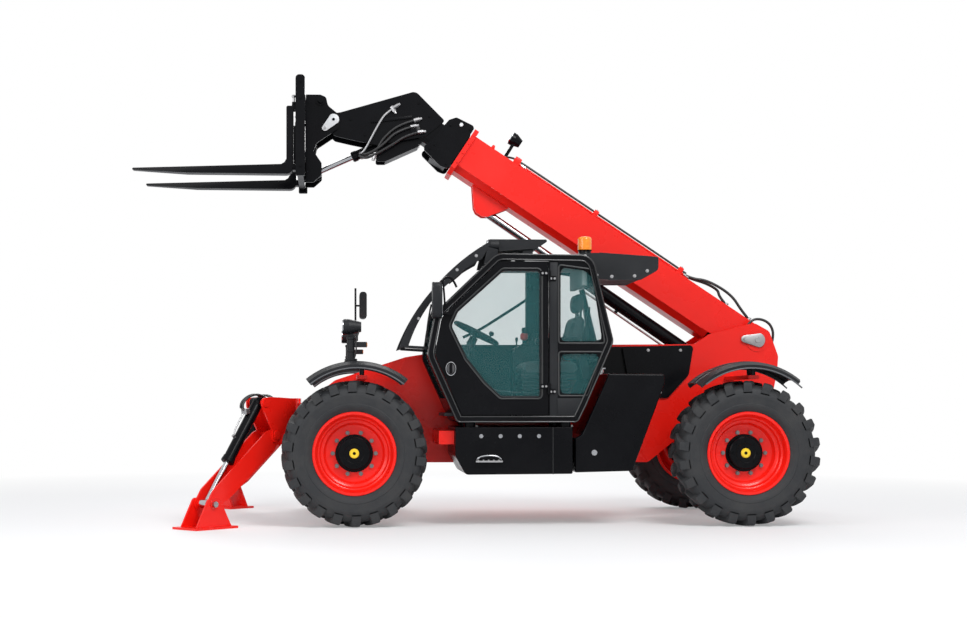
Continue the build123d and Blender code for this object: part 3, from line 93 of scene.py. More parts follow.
def grain_group():
    """Fine speckle: a colour shift, a roughness and a height over the surface."""
    group, given, out = new_group("grain", [("Colour", "NodeSocketColor", None),
            ("Dust", "NodeSocketColor", None), ("Scale", "NodeSocketFloat", 40.0),
            ("Patches", "NodeSocketFloat", 2.5), ("Shift", "NodeSocketFloat", 0.2),
            ("Rough low", "NodeSocketFloat", 0.3), ("Rough high", "NodeSocketFloat", 0.5)],
            [("Colour", "NodeSocketColor"), ("Roughness", "NodeSocketFloat"), ("Height", "NodeSocketFloat")])
    place = add_node(group, "ShaderNodeTexCoord")
    fine = add_node(group, "ShaderNodeTexNoise", Vector=place.outputs["Object"],
                    Scale=given.outputs["Scale"], Detail=4.0)
    broad = add_node(group, "ShaderNodeTexNoise", Vector=place.outputs["Object"],
                     Scale=given.outputs["Patches"], Detail=5.0, Roughness=0.6)
    spread = add_node(group, "ShaderNodeMapRange", Value=broad.outputs["Fac"], From_Min=0.42, From_Max=0.7)
    amount = maths(group, "MULTIPLY", spread.outputs["Result"], given.outputs["Shift"])
    mix = add_node(group, "ShaderNodeMix", {"data_type": "RGBA"}, i0=amount, i6=given.outputs["Colour"],
                   i7=given.outputs["Dust"])
    rough = add_node(group, "ShaderNodeMapRange", Value=broad.outputs["Fac"], From_Min=0.35, From_Max=0.65,
                     To_Min=given.outputs["Rough low"], To_Max=given.outputs["Rough high"])
    group.links.new(mix.outputs[2], out.inputs["Colour"])
    group.links.new(rough.outputs["Result"], out.inputs["Roughness"])
    group.links.new(fine.outputs["Fac"], out.inputs["Height"])
    return group


GRAIN = grain_group()
COAT_ROUGHNESS = 0.08
MATERIALS = {}


def finish(name, slot, colour, dust, scale=60.0, patches=2.0, shift=0.2, rough=(0.3, 0.45), metal=0.0,
           bump=0.05, coat=0.0, gloss=0.5, glow=None):
    """A painted, moulded or machined surface."""
    material = bpy.data.materials.new(name)
    material.use_nodes = True
    tree = material.node_tree
    surface = tree.nodes["Principled BSDF"]
    grain = add_node(tree, "ShaderNodeGroup", {"node_tree": GRAIN}, Colour=(*colour, 1), Dust=(*dust, 1),
                     Scale=scale, Patches=patches, Shift=shift, Rough_low=rough[0], Rough_high=rough[1])
    relief = add_node(tree, "ShaderNodeBump", Height=grain.outputs["Height"], Strength=bump, Distance=0.002)
    tree.links.new(grain.outputs["Colour"], surface.inputs["Base Color"])
    tree.links.new(grain.outputs["Roughness"], surface.inputs["Roughness"])
    tree.links.new(relief.outputs["Normal"], surface.inputs["Normal"])
    surface.inputs["Metallic"].default_value = metal
    surface.inputs["Coat Weight"].default_value = coat
    surface.inputs["Specular IOR Level"].default_value = gloss
    surface.inputs["Coat Roughness"].default_value = COAT_ROUGHNESS
    if glow:
        surface.inputs["Emission Color"].default_value = (*colour, 1)
        surface.inputs["Emission Strength"].default_value = glow
    MATERIALS[name] = (material, slot)


finish("red_paint", "red_paint", (0.88, 0.012, 0.006), (0.72, 0.02, 0.012), scale=300, shift=0.35,
       rough=(0.24, 0.36), bump=0.04, coat=0.12, gloss=0.28)
finish("black_paint", "black_paint", (0.0022, 0.0024, 0.0034), (0.006, 0.0063, 0.0075), scale=300, shift=0.5,
       rough=(0.18, 0.3), bump=0.03, coat=0.03, gloss=0.09)
finish("dark_plastic", "dark_plastic", (0.0075, 0.0085, 0.0105), (0.018, 0.019, 0.021), scale=900, shift=0.6,
       rough=(0.38, 0.55), bump=0.2, gloss=0.24)
finish("rubber", "tyre_rubber", (0.019, 0.0205, 0.023), (0.046, 0.046, 0.046), scale=220, patches=5,
       shift=0.8, rough=(0.55, 0.8), bump=0.5, gloss=0.35)
finish("chrome", "bright_rod", (0.46, 0.47, 0.49), (0.32, 0.32, 0.33), scale=400, rough=(0.12, 0.2),
       metal=1.0, bump=0.01)
finish("seat_cloth", "seat_cloth", (0.045, 0.05, 0.052), (0.09, 0.095, 0.095), scale=600, patches=6,
       shift=0.5, rough=(0.75, 0.95), bump=0.6)
finish("amber", "amber", (0.92, 0.24, 0.005), (0.95, 0.4, 0.02), scale=60, patches=30, shift=0.6,
       rough=(0.1, 0.2), coat=0.3, bump=0.02, glow=0.12)
finish("grey_iron", "grey_iron", (0.11, 0.11, 0.115), (0.05, 0.05, 0.05), scale=150, shift=0.7,
       rough=(0.5, 0.7), metal=0.6, bump=0.4)
finish("steel", "steel_pin", (0.42, 0.42, 0.43), (0.25, 0.24, 0.23), scale=300, shift=0.5,
       rough=(0.25, 0.45), metal=1.0, bump=0.06)
finish("stud_steel", "steel_pin", (0.2, 0.19, 0.19), (0.1, 0.09, 0.09), scale=300, shift=0.6,
       rough=(0.35, 0.55), metal=1.0, bump=0.1)
finish("edge_gloss", "black_paint", (0.004, 0.0044, 0.0055), (0.01, 0.0105, 0.012), scale=300, shift=0.4,
       rough=(0.12, 0.2), coat=0.5, bump=0.02)
finish("hose", "tyre_rubber", (0.012, 0.012, 0.013), (0.03, 0.03, 0.03), scale=500, shift=0.4,
       rough=(0.35, 0.5), bump=0.15)
finish("seal", "tyre_rubber", (0.02, 0.021, 0.022), (0.05, 0.05, 0.05), scale=400, shift=0.4,
       rough=(0.3, 0.45), bump=0.05)
finish("lining", "dark_plastic", (0.32, 0.36, 0.35), (0.22, 0.25, 0.25), scale=700, shift=0.5,
       rough=(0.7, 0.9), bump=0.3)
# lighter grey for the fender lips: a painted highlight along the rolled edge, not the plastic's own colour
finish("fender_lip_highlight", "dark_plastic", (0.075, 0.08, 0.088), (0.12, 0.12, 0.125), scale=500, shift=0.5,
       rough=(0.35, 0.5), bump=0.1)
finish("yellow_paint", "amber", (0.86, 0.62, 0.02), (0.6, 0.42, 0.03), scale=200, shift=0.4,
       rough=(0.3, 0.45), bump=0.05)
finish("tail_red", "red_paint", (0.5, 0.01, 0.008), (0.3, 0.01, 0.01), scale=80, rough=(0.08, 0.16),
       coat=0.6, bump=0.02)
finish("pale_plastic", "steel_pin", (0.72, 0.73, 0.74), (0.5, 0.5, 0.5), scale=300, shift=0.3,
       rough=(0.3, 0.45), bump=0.05)
finish("lens", "bright_rod", (0.8, 0.83, 0.85), (0.6, 0.65, 0.7), scale=60, rough=(0.03, 0.07), metal=0.3,
       coat=1.0, bump=0.02)


def pane_finish():
    """Thin tinted glass that lets light straight through and still mirrors the sky."""
    material = bpy.data.materials.new("pane")
    material.use_nodes = True
    tree = material.node_tree
    surface = tree.nodes["Principled BSDF"]
    place = add_node(tree, "ShaderNodeTexCoord")
    haze = add_node(tree, "ShaderNodeTexNoise", Vector=place.outputs["Object"], Scale=3.0, Detail=3.0)
    alpha = add_node(tree, "ShaderNodeMapRange", Value=haze.outputs["Fac"], From_Min=0.3, From_Max=0.7,
                     To_Min=0.13, To_Max=0.155)
    tree.links.new(alpha.outputs["Result"], surface.inputs["Alpha"])
    surface.inputs["Base Color"].default_value = (0.06, 0.25, 0.26, 1)
    surface.inputs["Roughness"].default_value = 0.03
    surface.inputs["IOR"].default_value = 1.45
    MATERIALS["pane"] = (material, "pane")


pane_finish()
SLOT_FINISH = {"tyre_rubber": "rubber", "bright_rod": "chrome", "steel_pin": "steel"}


def dress_nodes():
    """Give every solid of the frame the finish of its material slot."""
    for row in frame["record"]["subparts"]:
        node, slot = frame["nodes"][row["node"]], row["material_slot"]
        node.data.materials.clear()
        node.data.materials.append(MATERIALS[SLOT_FINISH.get(slot, slot)][0])


# ---- making pieces ------------------------------------------------------------------
def spot(ahead, left, up):
    """A point ahead of the front axle, left of the middle and above the ground."""
    return Vector((AXLE_X + ahead, left, up))


def as_given(*point):
    """A point that is already in the scene's own metres."""
    return point


def boom_spot(along, left, above):
    """A point along the boom from its pivot, left of the middle and above the pivot line."""
    turn = radians(BOOM_ANGLE)
    return spot(BOOM_PIVOT[0] + along * cos(turn) - above * sin(turn), left,
                BOOM_PIVOT[1] + along * sin(turn) + above * cos(turn))


def rounded(points, radii, steps=5):
    """A closed outline with its corners turned into arcs."""
    if not isinstance(radii, (list, tuple)):
        radii = [radii] * len(points)
    out = []
    for i, (corner, radius) in enumerate(zip(points, radii)):
        corner = Vector(corner)
        back = (Vector(points[i - 1]) - corner).normalized()
        on = (Vector(points[(i + 1) % len(points)]) - corner).normalized()
        half_turn = back.angle(on) / 2
        reach = radius / tan(half_turn)
        middle = corner + (back + on).normalized() * radius / sin(half_turn)
        start, end = corner + back * reach - middle, corner + on * reach - middle
        sweep = start.angle_signed(end)
        for step in range(steps + 1):
            angle = -sweep * step / steps
            out.append(tuple(middle + Matrix.Rotation(angle, 2) @ start))
    return out


def oblong(left, right, low, high):
    """The four corners of an upright oblong."""
    return [(left, low), (right, low), (right, high), (left, high)]


def slab(shape, outline, place, across, ease=0.0, segments=2):
    """A plate: its outline carried across by a vector, with its edges eased."""
    near = [shape.verts.new(place(*point)) for point in outline]
    far = [shape.verts.new(vert.co + Vector(across)) for vert in near]
    faces = [shape.faces.new(near[::-1]), shape.faces.new(far)]
    count = len(outline)
    for i in range(count):
        j = (i + 1) % count
        faces.append(shape.faces.new((near[i], near[j], far[j], far[i])))
    if ease:
        edges = list({edge for face in faces[:2] for edge in face.edges})
        bmesh.ops.bevel(shape, geom=edges, offset=ease, segments=segments, affect="EDGES", profile=0.5)


def side_slab(shape, outline, face, depth, ease=0.0, segments=2):
    """A plate with a side outline, its outer face at a distance left of the middle."""
    slab(shape, outline, lambda u, v: spot(u, face, v), (0, -depth, 0), ease, segments)


def boom_slab(shape, outline, face, depth, ease=0.0):
    """As side_slab, with the outline along and above the boom."""
    slab(shape, outline, lambda u, v: boom_spot(u, face, v), (0, -depth, 0), ease)


def box(shape, low, high, ease=0.0):
    """A block between two corners given ahead, left and up."""
    side_slab(shape, oblong(low[0], high[0], low[2], high[2]), high[1], high[1] - low[1], ease)


def turned(shape, profile, centre, axis, steps=32, ring=False):
    """A turned piece: its profile of (along, radius) spun about an axis; a ring's profile is closed."""
    axis = Vector(axis).normalized()
    across = axis.orthogonal().normalized()
    other = axis.cross(across)
    loops = []
    for along, radius in profile:
        middle = Vector(centre) + axis * along
        if radius < 1e-6:
            loops.append([shape.verts.new(middle)])
            continue
        loops.append([shape.verts.new(middle + (across * cos(2 * pi * i / steps)
                     + other * sin(2 * pi * i / steps)) * radius) for i in range(steps)])
    pairs = list(zip(loops, loops[1:]))
    if ring:
        pairs.append((loops[-1], loops[0]))
    for one, two in pairs:
        for i in range(steps):
            j = (i + 1) % steps
            corners = [one[i % len(one)], one[j % len(one)], two[j % len(two)], two[i % len(two)]]
            corners = list(dict.fromkeys(corners))
            if len(corners) > 2:
                shape.faces.new(corners)


def rod(shape, start, end, radius, steps=20, ease=0.0):
    """A round bar between two points."""
    start, end = Vector(start), Vector(end)
    length = (end - start).length
    profile = [(0, 0), (0, radius), (length, radius), (length, 0)]
    if ease:
        profile = [(0, 0), (0, radius - ease), (ease, radius), (length - ease, radius),
                   (length, radius - ease), (length, 0)]
    turned(shape, profile, start, end - start, steps)


def put(name, data):
    """A new object in the scene, at the origin."""
    thing = bpy.data.objects.new(name, data)
    bpy.context.scene.collection.objects.link(thing)
    return thing


def mesh_of(shape, name):
    """Turn a worked shape's faces outwards and make it a mesh."""
    bmesh.ops.recalc_face_normals(shape, faces=shape.faces)
    mesh = bpy.data.meshes.new(name)
    shape.to_mesh(mesh)
    shape.free()
    return mesh


def settle(name, mesh, body, material, angle=32):
    """Keep a mesh as a finished piece that rides on a body."""
    finish_material, slot = MATERIALS[material]
    mesh.name = name
    mesh.materials.clear()
    mesh.materials.append(finish_material)
    mesh.shade_smooth()
    mesh.set_sharp_from_angle(angle=radians(angle))
    piece = put(name, mesh)
    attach(piece, body)
    return piece


def finished(shape, name, material, body="chassis", angle=32):
    """Close a worked shape, turn its faces outwards and keep it."""
    bmesh.ops.remove_doubles(shape, verts=shape.verts, dist=1e-5)
    return settle(name, mesh_of(shape, name), body, material, angle)


def baked(thing):
    """The mesh of an object with its modifiers or curve settings carried out."""
    bpy.context.view_layer.update()
    seen = thing.evaluated_get(bpy.context.evaluated_depsgraph_get())
    mesh = bpy.data.meshes.new_from_object(seen)
    bpy.data.objects.remove(thing)
    return mesh


def lines(name, runs, radius, material, body="chassis", at=spot, closed=False, order=3):
    """Pipes, hoses or seals of one radius, each along its own run of points."""
    curve = bpy.data.curves.new(name, "CURVE")
    curve.dimensions = "3D"
    curve.bevel_depth = radius
    curve.bevel_resolution = 3
    curve.resolution_u = 6
    curve.use_fill_caps = True
    for run in runs:
        spline = curve.splines.new("POLY" if closed else "NURBS")
        spline.points.add(len(run) - 1)
        for point, place in zip(spline.points, run):
            point.co = (*at(*place), 1)
        if closed:
            spline.use_cyclic_u = True
        else:
            spline.order_u = min(order, len(run))
            spline.use_endpoint_u = True
    return settle(name, baked(put(name, curve)), body, material, 50)


# ---- repeated fittings --------------------------------------------------------------
def new_tree(name, inputs):
    """A geometry tree that ends in a mesh with its material."""
    tree = bpy.data.node_groups.new(name, "GeometryNodeTree")
    tree.interface.new_socket("Geometry", in_out="INPUT", socket_type="NodeSocketGeometry")
    tree.interface.new_socket("Geometry", in_out="OUTPUT", socket_type="NodeSocketGeometry")
    for label, kind, value in inputs:
        socket = tree.interface.new_socket(label, in_out="INPUT", socket_type=kind)
        if value is not None:
            socket.default_value = value
    return tree, tree.nodes.new("NodeGroupInput"), tree.nodes.new("NodeGroupOutput")


def end_tree(tree, given, out, geometry):
    """Realise the instances and give them the tree's finish."""
    real = add_node(tree, "GeometryNodeRealizeInstances", Geometry=geometry)
    dressed = add_node(tree, "GeometryNodeSetMaterial", Geometry=real.outputs[0],
                       Material=given.outputs["Finish"])
    tree.links.new(dressed.outputs[0], out.inputs[0])


def bolt_tree():
    """A hexagon head on a washer at each point, standing along the point's facing."""
    tree, given, out = new_tree("bolt heads", [("Size", "NodeSocketFloat", 0.02),
            ("Washer", "NodeSocketFloat", 0.8), ("Finish", "NodeSocketMaterial", None)])
    facing = add_node(tree, "GeometryNodeInputNamedAttribute", {"data_type": "FLOAT_VECTOR"}, Name="facing")
    turn = add_node(tree, "FunctionNodeAlignRotationToVector", {"axis": "Z"},
                    Vector=facing.outputs["Attribute"])
    shares = (0.5, 0.75, given.outputs["Washer"], 0.2, 0.25)
    half, tall, wide, thin, upper = [maths(tree, "MULTIPLY", given.outputs["Size"], share)
                                     for share in shares]
    head = add_node(tree, "GeometryNodeMeshCylinder", Vertices=6, Radius=half, Depth=tall)
    washer = add_node(tree, "GeometryNodeMeshCylinder", Vertices=16, Radius=wide, Depth=thin)
    lift = add_node(tree, "ShaderNodeCombineXYZ", Z=upper)
    raised = add_node(tree, "GeometryNodeTransform", Geometry=head.outputs["Mesh"],
                      Translation=lift.outputs[0])
    join = tree.nodes.new("GeometryNodeJoinGeometry")
    for part in (raised.outputs[0], washer.outputs["Mesh"]):
        tree.links.new(part, join.inputs[0])
    spread = add_node(tree, "GeometryNodeInstanceOnPoints", Points=given.outputs["Geometry"],
                      Instance=join.outputs[0], Rotation=turn.outputs[0])
    end_tree(tree, given, out, spread.outputs[0])
    return tree


BOLT_HEADS = bolt_tree()


def set_inputs(modifier, **values):
    """A geometry modifier's inputs, by the identifiers of its tree's sockets."""
    known = {item.name: item.identifier for item in modifier.node_group.interface.items_tree
             if item.in_out == "INPUT"}
    for label, value in values.items():
        modifier[known[label]] = value


def bolts(name, places, size, material, body="chassis", at=spot, washer=0.8):
    """Bolt heads at (point, facing) places, as one mesh."""
    mesh = bpy.data.meshes.new(name)
    mesh.from_pydata([tuple(at(*point)) for point, _ in places], [], [])
    facing = mesh.attributes.new("facing", "FLOAT_VECTOR", "POINT")
    facing.data.foreach_set("vector", [value for _, way in places for value in way])
    thing = put(name, mesh)
    modifier = thing.modifiers.new("heads", "NODES")
    modifier.node_group = BOLT_HEADS
    set_inputs(modifier, Size=size, Washer=washer, Finish=MATERIALS[material][0])
    return settle(name, baked(thing), body, material)


OUT, IN, UP, AHEAD = (0, 1, 0), (0, -1, 0), (0, 0, 1), (1, 0, 0)
SIDES = ((1, "left"), (-1, "right"))


# ---- wheels -------------------------------------------------------------------------
LUG_COUNT = 22
WHEEL_STEPS = 96
# one half of the tyre in section: distance from its middle, radius
TYRE_HALF = [(0.152, 0.308), (0.166, 0.332), (0.186, 0.352), (0.1935, 0.372), (0.1955, 0.385),
             (0.193, 0.389), (0.197, 0.415), (0.198, 0.44), (0.2, 0.452), (0.1975, 0.462), (0.195, 0.485),
             (0.184, 0.507), (0.165, 0.523), (0.12, 0.534), (0.06, 0.539)]
CARCASS = [(-across, radius) for across, radius in TYRE_HALF] + [(0, 0.54)] + TYRE_HALF[::-1]
# stations along a lug from the tyre's middle to its shoulder: across, shift round, half width, top radius,
# base radius
LUG_STATIONS = [(0.012, -0.062, 0.016, 0.5655, 0.53), (0.03, -0.056, 0.024, 0.567, 0.53),
                (0.075, -0.036, 0.028, 0.5675, 0.528), (0.12, -0.012, 0.03, 0.5665, 0.522),
                (0.155, 0.006, 0.031, 0.5645, 0.512), (0.182, 0.014, 0.032, 0.561, 0.497),
                (0.1965, 0.017, 0.033, 0.552, 0.487), (0.1995, 0.018, 0.0335, 0.535, 0.481),
                (0.1995, 0.0185, 0.034, 0.509, 0.474)]


def lug_pair():
    """Two slanted lugs, one on each half of the tread, half a pitch apart."""
    shape = bmesh.new()
    for side, start in ((1, 0.0), (-1, pi / LUG_COUNT)):
        rows = []
        for across, shift, half, top, base in LUG_STATIONS:
            row = []
            for width, radius in ((-half - 0.008, base), (-half - 0.001, top - 0.007), (-half + 0.006, top),
                                  (half - 0.006, top), (half + 0.001, top - 0.007), (half + 0.008, base)):
                angle = start + (shift + width) / TYRE_RADIUS
                row.append(shape.verts.new((sin(angle) * radius, side * across, cos(angle) * radius)))
            rows.append(row)
        for one, two in zip(rows, rows[1:]):
            for i in range(5):
                shape.faces.new((one[i], one[i + 1], two[i + 1], two[i]))
            shape.faces.new((one[5], one[0], two[0], two[5]))
        shape.faces.new(rows[0][::-1])
        shape.faces.new(rows[-1])
    return put("lug_pair", mesh_of(shape, "lug_pair"))


def tread_tree():
    """A lug pair repeated round the wheel's axle, joined to the carcass."""
    tree, given, out = new_tree("tread", [("Lug", "NodeSocketObject", None),
            ("Count", "NodeSocketInt", LUG_COUNT), ("Finish", "NodeSocketMaterial", None)])
    info = add_node(tree, "GeometryNodeObjectInfo", Object=given.outputs["Lug"])
    line = add_node(tree, "GeometryNodeMeshLine", Count=given.outputs["Count"], Offset=(0, 0, 0))
    index = tree.nodes.new("GeometryNodeInputIndex")
    pitch = maths(tree, "DIVIDE", 2 * pi, given.outputs["Count"])
    turn = add_node(tree, "ShaderNodeCombineXYZ", Y=maths(tree, "MULTIPLY", index.outputs[0], pitch))
    ring = add_node(tree, "GeometryNodeInstanceOnPoints", Points=line.outputs[0],
                    Instance=info.outputs["Geometry"], Rotation=turn.outputs[0])
    join = tree.nodes.new("GeometryNodeJoinGeometry")
    tree.links.new(given.outputs["Geometry"], join.inputs[0])
    tree.links.new(ring.outputs[0], join.inputs[0])
    end_tree(tree, given, out, join.outputs[0])
    return tree


def tyre_mesh():
    """A tyre at the origin: its carcass with the tread set round it."""
    shape = bmesh.new()
    turned(shape, CARCASS, (0, 0, 0), OUT, WHEEL_STEPS, ring=True)
    thing = put("carcass", mesh_of(shape, "carcass"))
    lug = lug_pair()
    modifier = thing.modifiers.new("tread", "NODES")
    modifier.node_group = tread_tree()
    set_inputs(modifier, Lug=lug, Count=LUG_COUNT, Finish=MATERIALS["rubber"][0])
    mesh = baked(thing)
    bpy.data.objects.remove(lug)
    return mesh


# outer face of the wheel in section: distance out from the tyre's middle, radius
RIM = [(0.163, 0.322), (0.166, 0.326), (0.1695, 0.322), (0.166, 0.304), (0.155, 0.297), (0.12, 0.291),
       (0.105, 0.282), (0.1, 0.272), (0.072, 0.268), (0.062, 0.258), (0.056, 0.24), (0.03, 0.234),
       (0.0155, 0.222), (0.013, 0.2), (0.013, 0.118), (0.001, 0.112), (-0.0012, 0.2), (0.004, 0.228),
       (0.02, 0.243), (0.046, 0.249), (0.05, 0.265), (0.062, 0.276), (0.09, 0.281), (0.095, 0.292),
       (0.12, 0.301), (0.15, 0.306), (0.158, 0.312)]
BARREL = [(-0.165, 0.326), (-0.158, 0.312), (-0.15, 0.3055), (0.12, 0.3055), (0.12, 0.2995), (-0.15, 0.2995),
          (-0.163, 0.304), (-0.167, 0.322)]
WHEELS = [("front_left", AXLE_X, 1), ("front_right", AXLE_X, -1), ("rear_left", AXLE_X - WHEELBASE, 1),
          ("rear_right", AXLE_X - WHEELBASE, -1)]
STUD_COUNT = 10
STUD_CIRCLE = 0.1675
HUB_BOLT_COUNT = 8
HUB_BOLT_CIRCLE = 0.096
HUB_CAP = [(0.068, 0), (0.068, 0.03), (0.0705, 0.038), (0.0765, 0.038), (0.079, 0.0345), (0.0815, 0.033),
           (0.0825, 0.014), (0.0795, 0.012), (0.0795, 0)]
HUB_RINGS = [[(0.0695, 0.1278), (0.0715, 0.1245), (0.0745, 0.121), (0.0745, 0.078), (0.0715, 0.074),
              (0.069, 0.074)],
             [(0.012, 0.1475), (0.02, 0.1475), (0.024, 0.1435), (0.024, 0.128), (0.012, 0.128)]]


def wheel_piece(name, place, profiles, steps, ring, body, material, angle):
    """Profiles turned about the axle as one piece, carried to a wheel."""
    shape = bmesh.new()
    for profile in profiles:
        turned(shape, profile, (0, 0, 0), OUT, steps, ring)
    bmesh.ops.transform(shape, matrix=place, verts=shape.verts)
    return finished(shape, name, material, body, angle=angle)


def wheel_bolts(place, count, start, circle, out):
    """Places of bolts on a circle round the axle, facing outwards."""
    facing = place.to_3x3() @ Vector(OUT)
    angles = [2 * pi * (i + start) / count for i in range(count)]
    return [(place @ Vector((sin(angle) * circle, out, cos(angle) * circle)), facing) for angle in angles]


def add_wheels():
    """Tyre, rim, studs and hub trim of the four wheels."""
    tyre = tyre_mesh()
    for corner, x, side in WHEELS:
        turn = Matrix.Rotation(0 if side > 0 else pi, 4, "Z")
        place = Matrix.Translation((x, side * WHEEL_Y, TYRE_RADIUS)) @ turn
        body = corner + "_wheel"
        mesh = tyre.copy()
        mesh.transform(place)
        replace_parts(settle(corner + "_tyre_fine", mesh, body, "rubber", 40), corner + "_tyre")
        rim = wheel_piece(corner + "_rim_fine", place, [RIM, BARREL], WHEEL_STEPS, True, body, "red_paint",
                          40)
        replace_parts(rim, corner + "_rim")
        bolts(corner + "_studs", wheel_bolts(place, STUD_COUNT, 0.5, STUD_CIRCLE, 0.0165), 0.029,
              "stud_steel", body, at=as_given, washer=0.58)
        bolts(corner + "_hub_bolts", wheel_bolts(place, HUB_BOLT_COUNT, 0, HUB_BOLT_CIRCLE, 0.0712), 0.017,
              "black_paint", body, at=as_given, washer=0.7)
        wheel_piece(corner + "_hub_cap", place, [HUB_CAP], 32, False, body, "yellow_paint", 30)
        wheel_piece(corner + "_hub_rings", place, HUB_RINGS, 48, True, body, "black_paint", 30)


# ---- seat ---------------------------------------------------------------------------
PAD_VOXEL = 0.007
PAD_PRESSURE = 4
SWELL_FRAMES = 20


def padded_piece(name, shape, node, cap):
    """Swell a slab of foam with cloth, cap how far it moves, and keep it as a padded piece."""
    thing = put(name, mesh_of(shape, name))
    remesh = thing.modifiers.new("even", "REMESH")
    remesh.mode = "VOXEL"
    remesh.voxel_size = PAD_VOXEL
    mesh = baked(thing)
    start = [vert.co.copy() for vert in mesh.vertices]
    thing = put(name, mesh.copy())
    cloth = thing.modifiers.new("swell", "CLOTH")
    cloth.settings.use_pressure = True
    cloth.settings.uniform_pressure_force = PAD_PRESSURE
    cloth.settings.effector_weights.gravity = 0
    cloth.point_cache.frame_start, cloth.point_cache.frame_end = 1, SWELL_FRAMES
    for number in range(1, SWELL_FRAMES + 1):
        bpy.context.scene.frame_set(number)
    mesh = baked(thing)
    for vert, was in zip(mesh.vertices, start):
        move = vert.co - was
        if move.length > cap:
            vert.co = was + move.normalized() * cap
    bpy.context.scene.frame_set(1)
    thing = put(name, mesh)
    smooth = thing.modifiers.new("smooth", "SUBSURF")
    smooth.levels = smooth.render_levels = 1
    piece = settle(name, baked(thing), "chassis", "seat_cloth", 180)
    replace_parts(piece, node)


def seat_pad(outline, half, bolster, grooves):
    """A pad with a side outline; its middle panel is pressed in along sewn grooves."""
    shape = bmesh.new()
    side_slab(shape, rounded(outline, bolster), SEAT_Y + half, 2 * half, 0.022, 3)
    for low, high in grooves:
        side_slab(shape, rounded(low, 0.02), SEAT_Y + high[0], high[0] - high[1], 0.02, 3)
    return shape


def add_seat():
    """Padded cushion, back and headrest on a ribbed base, with armrests."""
    cushion = [(-1.315, 1.196), (-1.3, 1.262), (-1.36, 1.278), (-1.77, 1.272), (-1.775, 1.196)]
    wings = [([(-1.34, 1.2), (-1.33, 1.268), (-1.42, 1.281), (-1.76, 1.279), (-1.765, 1.2)],
              (half, half - 0.1)) for half in (0.232, -0.132)]
    padded_piece("seat_cushion_pad", seat_pad(cushion, 0.215, 0.03, wings), "seat_cushion", 0.012)
    back = [(-1.7, 1.298), (-1.722, 1.5), (-1.752, 1.66), (-1.82, 1.66), (-1.81, 1.5), (-1.79, 1.298)]
    wings = [([(-1.697, 1.33), (-1.7, 1.46), (-1.74, 1.62), (-1.81, 1.62), (-1.8, 1.33)],
              (half, half - 0.09)) for half in (0.215, -0.125)]
    padded_piece("seat_back_pad", seat_pad(back, 0.2, 0.03, wings), "seat_back", 0.012)
    rest = [(-1.752, 1.682), (-1.757, 1.83), (-1.825, 1.83), (-1.822, 1.682)]
    padded_piece("headrest_pad", seat_pad(rest, 0.12, 0.03, []), "seat_back", 0.01)
    shape = bmesh.new()
    for step in range(9):
        low = 0.875 + step * 0.03
        box(shape, (-1.7, SEAT_Y - 0.21, low), (-1.32, SEAT_Y + 0.21, low + 0.02), 0.008)
    box(shape, (-1.75, SEAT_Y - 0.235, 1.15), (-1.31, SEAT_Y + 0.235, 1.19), 0.012)
    for y in (SEAT_Y - 0.23, SEAT_Y + 0.2):
        side_slab(shape, rounded([(-1.8, 1.15), (-1.77, 1.31), (-1.85, 1.72), (-1.862, 1.72), (-1.84, 1.31),
                  (-1.86, 1.15)], 0.004), y + 0.03, 0.03, 0.004)
    for y in (SEAT_Y - 0.05, SEAT_Y + 0.05):
        rod(shape, spot(-1.79, y, 1.62), spot(-1.79, y, 1.72), 0.007, 12)
    finished(shape, "seat_frame", "dark_plastic")
    shape = bmesh.new()
    for y in (SEAT_Y + 0.245, SEAT_Y - 0.3):
        side_slab(shape, rounded([(-1.42, 1.42), (-1.42, 1.472), (-1.77, 1.482), (-1.77, 1.43)], 0.02),
                  y + 0.055, 0.055, 0.014)
    finished(shape, "seat_armrests", "dark_plastic")


# ---- cab ----------------------------------------------------------------------------
CAB_OUTLINE = [(-0.795, 0.812), (-0.562, 1.33), (-0.625, 1.66), (-1.105, 2.123), (-1.85, 2.113),
               (-2.015, 1.44), (-1.8, 0.945), (-1.735, 0.812)]
CAB_CORNERS = [0.04, 0.16, 0.16, 0.12, 0.12, 0.09, 0.06, 0.05]
CAB_SIDE = 1.15
DOOR_WINDOW = [(-1.15, 2.005), (-1.455, 2.005), (-1.455, 1.0), (-1.13, 1.0), (-1.005, 1.118), (-0.86, 1.3),
               (-0.735, 1.56), (-0.79, 1.68)]
DOOR_WINDOW_CORNERS = [0.04, 0.04, 0.03, 0.04, 0.06, 0.06, 0.06, 0.06]
HINGE_HEIGHTS = (1.071, 1.949)
SIDE_WINDOWS = [[(-1.589, 2.035), (-1.85, 2.0), (-1.87, 1.919), (-1.945, 1.429), (-1.589, 1.429)],
                [(-1.589, 1.359), (-1.935, 1.359), (-1.812, 1.021), (-1.589, 1.021)]]
SIDE_WINDOW_CORNERS = [[0.05, 0.13, 0.1, 0.05, 0.05], [0.05, 0.05, 0.05, 0.05]]
SIDE_WINDOW_CENTRES = [(-1.74, 1.7), (-1.74, 1.2)]


def inset(outline, amount):
    """A closed outline drawn in by an amount."""
    area = sum(a[0] * b[1] - b[0] * a[1] for a, b in zip(outline, outline[1:] + outline[:1]))
    turn = 1 if area > 0 else -1
    out = []
    for i, point in enumerate(outline):
        back = (Vector(point) - Vector(outline[i - 1])).normalized()
        on = (Vector(outline[(i + 1) % len(outline)]) - Vector(point)).normalized()
        normals = [Vector((-way.y, way.x)) * turn for way in (back, on)]
        middle = (normals[0] + normals[1]).normalized()
        out.append(tuple(Vector(point) + middle * amount / max(0.3, middle.dot(normals[0]))))
    return out


